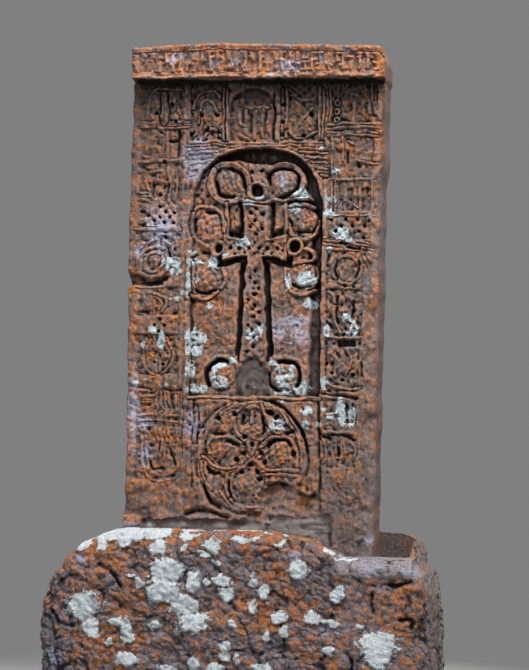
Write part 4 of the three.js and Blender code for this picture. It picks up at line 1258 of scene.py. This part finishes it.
def plinth_crust(places):
    """The pale lichen on the plinth's front, with ragged outlines."""
    flat = places * (1.0, 0.3, 1.0)
    aside, astray = (
        15.0 * lattice_noise(flat, 42.0, seed) + 8.0 * lattice_noise(flat, 16.0, seed + 2)
        for seed in (74, 75)
    )
    up = places[:, 2] - 0.5 * np.maximum(places[:, 1] + 300.0, 0.0)
    field = patch_field(places[:, 0] + aside, up + astray, PLINTH_PALE)
    return np.minimum(field, PLINTH_PALE_MOST) * smooth(-170.0, -230.0, places[:, 1])


def crusted_share(places):
    """Where that lichen has grown into a crust, from nought to one."""
    return smooth(0.44, 0.54, plinth_crust(places))


def plinth_roughness(x, y, z, places, normals):
    """How far the stone stands out of its outline: swells, furrows and crust, less creases and splits."""
    calm = (1.0 - 0.8 * dressed_share(x, y, z)) * (1.0 - 0.4 * smooth(300, 420, x) * (y < 0))
    swell = 13.0 * lattice_noise(places, 190.0, 61) + 8.0 * lattice_noise(places, 84.0, 62)
    turned = askew(places)
    fine = 3.4 * lattice_noise(turned, 34.0, 64) + 3.4 * lattice_noise(turned, 14.0, 65)
    fine = fine + 3.0 * furrows(places, normals)
    crusted = crusted_share(places)
    rough = calm * (swell + fine - (1.0 - 0.4 * crusted) * creases(places))
    return rough - splits(places) + 4.5 * crusted - 2.0


def plinth_shape(settings):
    """The rough block: an even cut cube moved to its outline, then creased, pitted and crusted."""
    cell = settings.cell / MM
    half_x, half_y = PLINTH_HIGH.x / MM, PLINTH_HIGH.y / MM
    counts = (slices(2 * half_x, cell), slices(2 * half_y, 1.3 * cell), slices(PLINTH_TOP / MM, cell))
    piece = cut_cube("plinth", counts)
    mesh = piece.data
    share = vertex_places(mesh)
    on_top = share[:, 2] > 1.0 - TOUCH
    behind, beside = SOCKET_BACK + 9.0, SOCKET_LEFT - 9.0
    ends = (SOCKET_LEFT, SOCKET_RIGHT)
    walls = (SOCKET_FRONT, SOCKET_BACK)
    xs = stations(-half_x, half_x, counts[0], ends, lambda x: plinth_top_at(x, behind))
    ys = stations(-half_y, half_y, counts[1], walls, lambda y: plinth_top_at(beside, y))
    x = xs[np.rint(share[:, 0] * counts[0]).astype(int)]
    y = ys[np.rint(share[:, 1] * counts[1]).astype(int)]
    top = plinth_top_at(x, y)
    z = share[:, 2] * top
    pinch = 1.0 - PINCH_LEFT * np.clip(-x / half_x, 0.0, 1.0) ** 8
    pinch = pinch - PINCH_RIGHT * np.clip(x / half_x, 0.0, 1.0) ** 8
    lean = LEAN * smooth(420, 120, z) + LEAN_AT_END * smooth(420, 0, z) * smooth(560, 700, x)
    past = np.stack([np.maximum(np.abs(p) - half + CORNER, 0.0) for p, half in ((x, half_x), (y, half_y))])
    excess = past * (1.0 - past.max(axis=0) / (np.hypot(*past) + 1e-9))
    across, along = x - np.sign(x) * excess[0], y - np.sign(y) * excess[1]
    places = np.stack([across + lean, along * pinch, z], axis=1)
    set_vertex_places(mesh, places)
    normals = vertex_normals(mesh)
    keep = smooth(0.0, 70.0, z) * np.where(in_socket(x, y, 1.0) & on_top, 0.0, 1.0)
    keep = keep * (1.0 - 0.6 * smooth(0.75, 0.95, normals[:, 2]))
    moved = places + normals * (plinth_roughness(x, y, z, places, normals) * keep)[:, None]
    moved[:, 2] = np.where(share[:, 2] < TOUCH, 0.0, np.maximum(moved[:, 2], 0.0))
    set_vertex_places(mesh, moved * MM)
    return piece


def plinth_finish(piece):
    """Stores on each vertex what the rough stone's finish reads."""
    mesh = piece.data
    places = vertex_places(mesh) / MM
    normals = vertex_normals(mesh)
    x, y, z = places.T
    facing = smooth(0.0, -60.0, y + 170.0)
    astray = np.stack([12.0 * lattice_noise(places, 30.0, seed) for seed in (71, 72, 73)], axis=1)
    elsewhere = np.minimum(rosettes(places + astray, 130.0, 71, 0.75), PLINTH_PALE_MOST)
    sunk = in_socket(x, y, 4.0)
    pale = np.maximum(plinth_crust(places), elsewhere * (1 - facing))
    # The faces turned to the right are partly stone that has lost its skin and partly painted light, and
    # carry less pale lichen.
    right_end = smooth(0.6, 0.9, normals[:, 0])
    bare_and_lit = np.maximum.reduce([0.3 * sunk, 0.85 * dressed_share(x, y, z), 0.8 * right_end])
    lilac = np.maximum(patch_field(x, z, PLINTH_LILAC) * facing, 0.34 * dressed_share(x, y, z))
    orange = 0.44 + 0.16 * lattice_noise(places, 160.0, 73)
    orange += 0.14 * smooth(490, 550, z) + 0.03 * smooth(260, 360, x)
    orange -= 0.25 * smooth(-560, -690, x) * smooth(340, 250, z)
    # Painted shade in the creases and splits, eased under the crust, with random mottling from the finer
    # noise and furrows.
    hollow = 0.09 * (1.0 - 0.6 * crusted_share(places)) * creases(places) + 0.05 * splits(places) - 0.62
    hollow -= 0.20 * lattice_noise(askew(places), 14.0, 65) + 0.28 * furrows(places, normals)
    # The socket's gaps get painted shade through a fixed hollow value and a darkening.
    for name, values in (
        ("hollow", np.where(sunk, 0.25, hollow)),
        ("orange", orange),
        ("bare_and_lit", bare_and_lit),
        ("painted_shade_and_darkening", 0.6 * sunk),
        ("pale", np.where(sunk, 0.0, pale) * (1 - 0.6 * right_end)),
        ("lilac", lilac),
    ):
        set_attribute(mesh, name, values)


class FinishNodes:
    """Short calls for the nodes of a stone finish."""

    def __init__(self, name):
        self.material = bpy.data.materials.new(name)
        self.material.use_nodes = True
        self.tree = self.material.node_tree
        self.shader = self.tree.nodes["Principled BSDF"]
        self.place = self.tree.nodes.new("ShaderNodeTexCoord").outputs["Object"]

    def link(self, source, socket):
        """Joins an output to a socket, or sets the socket's own value."""
        if isinstance(source, bpy.types.NodeSocket):
            self.tree.links.new(source, socket)
        else:
            socket.default_value = source

    def noise(self, scale, detail=4.0, roughness=0.6, distortion=0.0):
        node = self.tree.nodes.new("ShaderNodeTexNoise")
        self.tree.links.new(self.place, node.inputs["Vector"])
        node.inputs["Scale"].default_value = scale
        node.inputs["Detail"].default_value = detail
        node.inputs["Roughness"].default_value = roughness
        node.inputs["Distortion"].default_value = distortion
        return node.outputs["Fac"]

    def cell_edges(self, scale):
        node = self.tree.nodes.new("ShaderNodeTexVoronoi")
        node.feature = "DISTANCE_TO_EDGE"
        self.tree.links.new(self.place, node.inputs["Vector"])
        node.inputs["Scale"].default_value = scale
        return node.outputs["Distance"]

    def stored(self, name):
        """What the vertices store under a name."""
        node = self.tree.nodes.new("ShaderNodeAttribute")
        node.attribute_name = name
        return node.outputs["Fac"]

    def maths(self, operation, first, second=0.0, third=0.0):
        node = self.tree.nodes.new("ShaderNodeMath")
        node.operation = operation
        for socket, source in zip(node.inputs, (first, second, third)):
            self.link(source, socket)
        return node.outputs["Value"]

    def step(self, value, low, high, start=0.0, end=1.0):
        """An easy slope from start to end as a value goes from low to high."""
        node = self.tree.nodes.new("ShaderNodeMapRange")
        node.interpolation_type = "SMOOTHSTEP"
        self.link(value, node.inputs["Value"])
        for socket, number in zip(("From Min", "From Max", "To Min", "To Max"), (low, high, start, end)):
            node.inputs[socket].default_value = number
        return node.outputs["Result"]

    def mix(self, share, first, second):
        node = self.tree.nodes.new("ShaderNodeMix")
        node.data_type = "RGBA"
        colours = [s for s in node.inputs if s.type == "RGBA"]
        self.link(share, node.inputs[0])
        self.link(first, colours[0])
        self.link(second, colours[1])
        return next(s for s in node.outputs if s.type == "RGBA")

    def coat(self, under, colour, share, most):
        """Lays a colour over what is under it by a share, up to the most that it may cover."""
        return self.mix(self.maths("MULTIPLY", share, most), under, (*colour, 1))

    def bump(self, height, strength, distance):
        node = self.tree.nodes.new("ShaderNodeBump")
        node.inputs["Strength"].default_value = strength
        node.inputs["Distance"].default_value = distance
        self.link(height, node.inputs["Height"])
        return node.outputs["Normal"]


def stone_finish(name, settings, cool_stone, warm_stone, growth_scale, flaking, grit, speckle, whiteness):
    """Weathered stone under orange, lilac and pale lichen, with painted shade in its hollows and a painted
    highlight on its ridges.
    """
    n = FinishNodes(name)
    hollow, orange, bare_and_lit = n.stored("hollow"), n.stored("orange"), n.stored("bare_and_lit")
    pale, lilac, painted_shade_and_darkening = n.stored("pale"), n.stored("lilac"), n.stored("painted_shade_and_darkening")
    fleck = n.noise(240.0, 4.0, 0.75)
    mottle = n.noise(90.0, 5.0, 0.72)
    specks = n.noise(125.0, 3.0, 0.6)

    stone = n.mix(n.step(n.noise(30.0, 6.0, 0.72), 0.44, 0.62), (*cool_stone, 1), (*warm_stone, 1))
    stone = n.coat(stone, settings.olive_stain, n.step(n.noise(52.0, 6.0, 0.75), 0.52, 0.62), 0.6)
    stone = n.coat(stone, settings.stone_grey, n.step(mottle, 0.52, 0.66), 0.55)
    stone = n.coat(stone, settings.stone_dark, n.step(fleck, 0.50, 0.36), 0.60)
    stone = n.coat(stone, settings.stone_dark, n.step(specks, 0.46, 0.36), speckle)
    stone = n.coat(stone, settings.pale_grain_and_ridge_highlight, n.step(specks, 0.54, 0.64), speckle)
    # Stone that has lost its skin, and painted light on the right-facing sides.
    stone = n.coat(stone, settings.bare_and_lit_stone, n.step(bare_and_lit, 0.2, 0.8), 0.7)

    growth = n.maths("MULTIPLY", n.noise(growth_scale, 5.0, 0.72), 0.55)
    for field, weight in (
        (n.noise(2.7 * growth_scale, 5.0, 0.72), 0.45),
        (n.noise(0.25 * growth_scale, 3.0), 0.30),
        (orange, 0.36),
        (bare_and_lit, -0.16),
        (hollow, -0.09),
    ):
        growth = n.maths("MULTIPLY_ADD", field, weight, growth)
    rust = n.mix(n.step(n.noise(110.0), 0.40, 0.60), (*settings.orange_lichen, 1), (*settings.rust_lichen, 1))
    rust = n.coat(rust, settings.ochre_lichen, n.step(n.noise(62.0, 3.0), 0.60, 0.66), 0.6)
    colour = n.mix(n.maths("MULTIPLY", n.step(growth, 0.822, 0.857), 0.90), stone, rust)

    bloom = n.maths("MULTIPLY_ADD", lilac, 0.27, n.noise(95.0, 6.0, 0.78))
    colour = n.coat(colour, settings.lilac_lichen, n.step(bloom, 0.59, 0.71), 0.82)

    # Painted shade: the hollows, blended with the dark grain, are darkened towards near-black.
    dark = n.maths("MULTIPLY_ADD", n.maths("SUBTRACT", fleck, 0.5), 0.55, hollow)
    colour = n.coat(colour, settings.painted_shade_and_rim_black, n.step(dark, 0.04, 0.85), 0.95)
    # Painted shade under the cornice and in the socket, and the mound darkened.
    colour = n.coat(colour, settings.painted_shade_and_rim_black, painted_shade_and_darkening, 0.5)
    # Painted highlight: the edges that stand out are lightened.
    colour = n.coat(colour, settings.pale_grain_and_ridge_highlight, n.step(hollow, -0.10, -0.70), 0.30)

    ragged = n.maths("MULTIPLY_ADD", n.noise(66.0, 5.0, 0.7), 0.80, -0.55)
    ragged = n.maths("MULTIPLY_ADD", n.noise(150.0, 4.0, 0.7), 0.30, ragged)
    ragged = n.maths("MULTIPLY", ragged, flaking)
    crust = n.maths("MULTIPLY_ADD", hollow, -0.14, n.maths("ADD", pale, ragged))
    # A dark rim round each pale lichen patch.
    colour = n.coat(colour, settings.painted_shade_and_rim_black, n.step(crust, 0.40, 0.47), 0.5)
    crust = n.step(crust, 0.47, 0.525)
    dots = n.maths("MULTIPLY", n.step(specks, 0.69, 0.74), 0.55)
    folds = n.noise(70.0, 6.0, 0.75, 0.4)
    lit = n.step(folds, 0.62 - whiteness, 0.84 - whiteness)
    plates = n.mix(lit, (*settings.pale_shade, 1), (*settings.pale_lichen, 1))
    plates = n.coat(plates, settings.pale_crack, n.step(n.cell_edges(150.0), 0.14, 0.0), 0.45)
    colour = n.mix(n.maths("MAXIMUM", n.maths("MULTIPLY", crust, 0.95), dots), colour, plates)
    n.link(colour, n.shader.inputs["Base Color"])

    n.link(n.maths("MULTIPLY_ADD", fleck, 0.2, 0.8), n.shader.inputs["Roughness"])
    n.shader.inputs["Specular IOR Level"].default_value = 0.2
    height = n.maths("MULTIPLY_ADD", mottle, 0.9, n.maths("MULTIPLY", fleck, 0.7))
    height = n.maths("MULTIPLY_ADD", crust, n.maths("MULTIPLY_ADD", folds, 1.5, 0.15), height)
    n.link(n.bump(height, 0.9, grit), n.shader.inputs["Normal"])
    return n.material


def hand_over(piece, node, material):
    """Shades a finished piece, gives it its stone, hangs it under the root body and hides its CAD part."""
    bpy.ops.object.shade_smooth_by_angle(angle=SHADING_ANGLE)
    piece.data.materials.clear()
    piece.data.materials.append(material)
    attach(piece, "root")
    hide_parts(node)


def colour_setting(label, words, default):
    return bpy.props.FloatVectorProperty(
        name=label, description=words, default=default, subtype="COLOR", size=3, min=0.0, max=1.0
    )


def length_setting(label, words, default, **limits):
    return bpy.props.FloatProperty(name=label, description=words, default=default, unit="LENGTH", **limits)


def angle_setting(label, words, degrees):
    return bpy.props.FloatProperty(
        name=label, description=words, default=math.radians(degrees), subtype="ANGLE"
    )


def count_setting(label, words, default):
    return bpy.props.IntProperty(name=label, description=words, default=default, min=20000)


class KhachkarFinishSettings(bpy.types.PropertyGroup):
    slab_cool: colour_setting("Slab, cool", "The slab's greyer stone", (0.152, 0.122, 0.117))
    slab_warm: colour_setting("Slab, warm", "The slab's browner stone", (0.126, 0.089, 0.069))
    plinth_cool: colour_setting("Plinth, cool", "The plinth's greyer stone", (0.194, 0.186, 0.232))
    plinth_warm: colour_setting("Plinth, warm", "The plinth's browner stone", (0.168, 0.136, 0.124))
    stone_grey: colour_setting("Grey grain", "The pale grain in the stone", (0.255, 0.230, 0.244))
    olive_stain: colour_setting("Olive stain", "The dull stain on parts of the stone", (0.094, 0.074, 0.046))
    stone_dark: colour_setting("Dark grain", "The dark grain in the stone", (0.050, 0.036, 0.030))
    # Also the painted light on the right-facing sides.
    bare_and_lit_stone: colour_setting("Bare stone, painted light", "Stone that has lost its skin and lichen", (0.300, 0.252, 0.240))
    orange_lichen: colour_setting("Orange lichen", "The brighter orange growth", (0.58, 0.185, 0.030))
    rust_lichen: colour_setting("Rust lichen", "The darker orange growth", (0.28, 0.098, 0.034))
    ochre_lichen: colour_setting("Ochre lichen", "The yellow specks", (0.30, 0.205, 0.060))
    lilac_lichen: colour_setting("Lilac lichen", "The blue-grey bloom", (0.38, 0.39, 0.51))
    # The near-black of the painted shade in hollows, under the cornice and in the socket, and of the rims
    # round the pale lichen.
    painted_shade_and_rim_black: colour_setting("Painted shade and lichen rims", "The near-black of cuts and pits", (0.018, 0.0135, 0.012))
    # Pale specks in the stone, and the painted highlight on raised edges.
    pale_grain_and_ridge_highlight: colour_setting("Pale grain, ridge highlight", "Pale specks in the stone, and the painted highlight on high edges", (0.36, 0.305, 0.30))
    pale_lichen: colour_setting("Pale lichen", "The whitest crust", (0.84, 0.93, 0.98))
    pale_shade: colour_setting("Pale lichen shade", "The greyer crust", (0.51, 0.60, 0.65))
    pale_crack: colour_setting("Pale lichen cracks", "Between the crust's plates", (0.16, 0.16, 0.14))


class KhachkarSlabSettings(bpy.types.PropertyGroup):
    pitch: length_setting(
        "Carving pitch", "Spacing of the grid that the face is carved on", 0.0025, min=0.0015, max=0.02
    )
    cell: length_setting(
        "Body cell", "Spacing of the faces on the plain sides and back", 0.010, min=0.005, max=0.1
    )
    triangles: count_setting("Triangles", "About how many triangles the finished slab keeps", 192000)


class KhachkarPlinthSettings(bpy.types.PropertyGroup):
    cell: length_setting("Cell", "Spacing of the faces on the plinth's front", 0.0052, min=0.003, max=0.05)
    triangles: count_setting("Triangles", "About how many triangles the finished plinth keeps", 190000)


class KhachkarStageSettings(bpy.types.PropertyGroup):
    azimuth: angle_setting("Camera azimuth", "How far right of the front the camera stands", 9.5)
    distance: length_setting("Camera distance", "From the camera to the slab's face", 8.0)
    height: length_setting("Camera height", "Above the floor", 0.95)
    aim_aside: length_setting("Aim aside", "How far right of the slab's axis the camera looks", 0.036)
    aim_height: length_setting("Aim height", "How high above the floor the camera looks", 1.3)
    roll: angle_setting("Camera roll", "How far the camera is tipped sideways", 1.1)
    floor_radius: length_setting("Floor radius", "Where the floor has faded into the backdrop", 1.7)
    backdrop: colour_setting("Backdrop", "The plain grey behind the stone", (0.216, 0.216, 0.216))
    floor: colour_setting("Floor", "The plain pale floor", (0.26, 0.26, 0.26))


class OBJECT_OT_khachkar_slab(bpy.types.Operator):
    """Carve the cross slab and its cornice"""

    bl_idname = "object.khachkar_slab"
    bl_label = "Cross slab"

    def execute(self, context):
        settings = context.scene.khachkar_slab
        face = CarvedFace(settings.pitch / MM)
        carve_cornice(face)
        carve_border_lines(face)
        carve_left_border(face)
        carve_right_border(face)
        carve_band(face)
        carve_medallion(face)
        carve_niche(face)
        share, foot, broken = weather(face)
        front = slab_front(face)
        body = slab_body(settings.cell / MM)
        select_only(body, front)
        bpy.ops.object.join()
        piece = context.object
        piece.name = piece.data.name = "cross_stone"
        close_front(piece)
        apply_decimate(piece, settings.triangles)
        slab_finish(piece, face, share, foot, broken)
        finish = context.scene.khachkar_finish
        material = stone_finish(
            "carved stone", finish, finish.slab_cool, finish.slab_warm,
            growth_scale=72.0, flaking=2.0, grit=0.008, speckle=0.15, whiteness=0.18,
        )
        hand_over(piece, "cross_slab", material)
        return {"FINISHED"}


class OBJECT_OT_khachkar_plinth(bpy.types.Operator):
    """Shape the rough plinth block with its socket and dressed lip"""

    bl_idname = "object.khachkar_plinth"
    bl_label = "Plinth"

    def execute(self, context):
        settings = context.scene.khachkar_plinth
        piece = plinth_shape(settings)
        select_only(piece)
        apply_decimate(piece, settings.triangles)
        plinth_finish(piece)
        finish = context.scene.khachkar_finish
        material = stone_finish(
            "rough stone", finish, finish.plinth_cool, finish.plinth_warm,
            growth_scale=50.0, flaking=1.7, grit=0.012, speckle=0.6, whiteness=0.31,
        )
        hand_over(piece, "plinth_block", material)
        return {"FINISHED"}


# The wedge stone: how square it is, the room left for its lumps each way, and how far it tapers.
WEDGE_SQUARENESS = 0.48
WEDGE_ROOM = (5.0, 3.0, 1.0)
WEDGE_TAPER = 0.22


def wedge_shape(mesh):
    """Turns a ball into a lumpy, tapering chip in the wedge's box, and stores what its finish reads."""
    places = vertex_places(mesh)
    low, high = np.array(WEDGE_LOW), np.array(WEDGE_HIGH)
    half, middle = (high - low) / 2 / MM, (high + low) / 2 / MM
    boxy = np.sign(places) * np.abs(places) ** WEDGE_SQUARENESS
    lumps = 4.6 * lattice_noise(boxy * half, 26.0, 81) + 1.4 * lattice_noise(boxy * half, 11.0, 82)
    shaped = boxy * (half - WEDGE_ROOM) + places * lumps[:, None]
    shaped[:, 2] *= 1.0 - WEDGE_TAPER * shaped[:, 0] / half[0]
    shaped[:, 2] = np.clip(shaped[:, 2], -half[2], half[2])
    set_vertex_places(mesh, (shaped + middle) * MM)
    around = vertex_places(mesh) / MM
    underside = smooth(0.1, -0.5, (around[:, 2] - middle[2]) / half[2])
    for name, values in (
        ("hollow", -0.4 * lattice_noise(around, 12.0, 83)),
        ("orange", np.full(len(around), 0.66)),
        ("bare_and_lit", np.zeros(len(around))),
        ("painted_shade_and_darkening", np.zeros(len(around))),
        ("pale", 0.55 * (0.5 + 0.5 * lattice_noise(around, 26.0, 84))),
        ("lilac", 0.30 + 0.10 * lattice_noise(around, 22.0, 85) + 0.45 * underside),
    ):
        set_attribute(mesh, name, values)


class OBJECT_OT_khachkar_wedge(bpy.types.Operator):
    """Chip the small wedge stone at the slab's left foot"""

    bl_idname = "object.khachkar_wedge"
    bl_label = "Wedge stone"

    def execute(self, context):
        start_piece()
        bpy.ops.mesh.primitive_ico_sphere_add(subdivisions=5, radius=1.0)
        piece = context.object
        piece.name = piece.data.name = "wedge"
        wedge_shape(piece.data)
        finish = context.scene.khachkar_finish
        material = stone_finish(
            "chipped stone", finish, finish.slab_cool, finish.slab_warm,
            growth_scale=40.0, flaking=1.0, grit=0.008, speckle=0.3, whiteness=0.22,
        )
        hand_over(piece, "wedge_stone", material)
        return {"FINISHED"}


# The soft lights: degrees round from the front and up, distance, size, power and colour.
LAMPS = {
    "key": (34.0, 58.0, 6.0, 2.6, 715.0, (1.0, 0.98, 0.955)),
    "fill": (-38.0, 18.0, 7.0, 4.5, 196.0, (0.93, 0.96, 1.0)),
    "back": (190.0, 40.0, 7.0, 4.0, 260.0, (0.96, 0.98, 1.0)),
}
LAMP_AIM = 1.2


def add_lamp(name, azimuth, elevation, distance, size, power, colour):
    """A square soft light that looks at the slab's middle."""
    target = Vector((SLAB_AXIS, SLAB_FRONT, LAMP_AIM))
    a, e = math.radians(azimuth), math.radians(elevation)
    start_piece()
    bpy.ops.object.light_add(type="AREA")
    lamp = bpy.context.object
    lamp.name = name
    towards = Vector((math.sin(a) * math.cos(e), -math.cos(a) * math.cos(e), math.sin(e)))
    lamp.location = target + distance * towards
    lamp.rotation_euler = (target - lamp.location).to_track_quat("-Z", "Y").to_euler()
    lamp.data.shape = "SQUARE"
    lamp.data.size = size
    lamp.data.energy = power
    lamp.data.color = colour


def floor_finish(settings):
    """A plain pale floor that fades out round its rim."""
    n = FinishNodes("floor")
    n.shader.inputs["Base Color"].default_value = (*settings.floor, 1)
    n.shader.inputs["Roughness"].default_value = 0.9
    gradient = n.tree.nodes.new("ShaderNodeTexGradient")
    gradient.gradient_type = "SPHERICAL"
    mapping = n.tree.nodes.new("ShaderNodeMapping")
    mapping.inputs["Scale"].default_value = (1 / settings.floor_radius,) * 3
    n.tree.links.new(n.place, mapping.inputs["Vector"])
    n.tree.links.new(mapping.outputs["Vector"], gradient.inputs["Vector"])
    n.link(n.step(gradient.outputs["Fac"], 0.02, 0.5), n.shader.inputs["Alpha"])
    return n.material


class OBJECT_OT_khachkar_stage(bpy.types.Operator):
    """Set the floor, the soft lights, the backdrop and the camera"""

    bl_idname = "object.khachkar_stage"
    bl_label = "Stage"

    def execute(self, context):
        settings = context.scene.khachkar_stage
        start_piece()
        bpy.ops.mesh.primitive_circle_add(vertices=96, radius=settings.floor_radius, fill_type="NGON")
        floor = context.object
        floor.name = "floor"
        floor.data.materials.append(floor_finish(settings))

        world = bpy.data.worlds.new("backdrop")
        context.scene.world = world
        world.use_nodes = True
        sky = world.node_tree.nodes["Background"]
        sky.inputs["Color"].default_value = (*settings.backdrop, 1)
        sky.inputs["Strength"].default_value = 1.0
        for name, lamp in LAMPS.items():
            add_lamp(name, *lamp)
        context.scene.view_settings.view_transform = "Standard"
        context.scene.view_settings.look = "None"

        start_piece()
        bpy.ops.object.camera_add()
        camera = context.object
        camera.name = "camera"
        context.scene.camera = camera
        camera.data.sensor_width = SENSOR
        camera.data.lens = SENSOR * settings.distance / (PIXEL * PHOTO_HEIGHT)
        target = Vector((SLAB_AXIS + settings.aim_aside, SLAB_FRONT, settings.aim_height))
        away = Vector((math.sin(settings.azimuth), -math.cos(settings.azimuth), 0.0))
        camera.location = Vector((target.x, target.y, settings.height)) + settings.distance * away
        look = (target - camera.location).to_track_quat("-Z", "Y")
        camera.rotation_euler = (look.to_matrix() @ Matrix.Rotation(settings.roll, 3, "Z")).to_euler()
        return {"FINISHED"}


class VIEW3D_PT_khachkar(bpy.types.Panel):
    """Lists the khachkar's pieces and their settings"""

    bl_label = "Khachkar"
    bl_space_type = "VIEW_3D"
    bl_region_type = "UI"
    bl_category = "Khachkar"

    def draw(self, context):
        scene = context.scene
        for operator, group in (
            (OBJECT_OT_khachkar_slab, scene.khachkar_slab),
            (OBJECT_OT_khachkar_plinth, scene.khachkar_plinth),
            (OBJECT_OT_khachkar_wedge, scene.khachkar_finish),
            (OBJECT_OT_khachkar_stage, scene.khachkar_stage),
        ):
            box = self.layout.box()
            box.operator(operator.bl_idname)
            for name in group.__annotations__:
                box.prop(group, name)


CLASSES = (
    KhachkarFinishSettings,
    KhachkarSlabSettings,
    KhachkarPlinthSettings,
    KhachkarStageSettings,
    OBJECT_OT_khachkar_slab,
    OBJECT_OT_khachkar_plinth,
    OBJECT_OT_khachkar_wedge,
    OBJECT_OT_khachkar_stage,
    VIEW3D_PT_khachkar,
)
SETTINGS = {
    "khachkar_finish": KhachkarFinishSettings,
    "khachkar_slab": KhachkarSlabSettings,
    "khachkar_plinth": KhachkarPlinthSettings,
    "khachkar_stage": KhachkarStageSettings,
}


def register():
    """Registers the classes and hangs the settings on the scene."""
    for cls in CLASSES:
        bpy.utils.register_class(cls)
    for name, group in SETTINGS.items():
        setattr(bpy.types.Scene, name, bpy.props.PointerProperty(type=group))


def unregister():
    """Takes the settings and classes away again."""
    for name in SETTINGS:
        delattr(bpy.types.Scene, name)
    for cls in reversed(CLASSES):
        bpy.utils.unregister_class(cls)


def main():
    """Makes the stage and the pieces."""
    register()
    bpy.ops.object.khachkar_stage()
    bpy.ops.object.khachkar_plinth()
    bpy.ops.object.khachkar_wedge()
    bpy.ops.object.khachkar_slab()


if __name__ == "__main__":
    main()
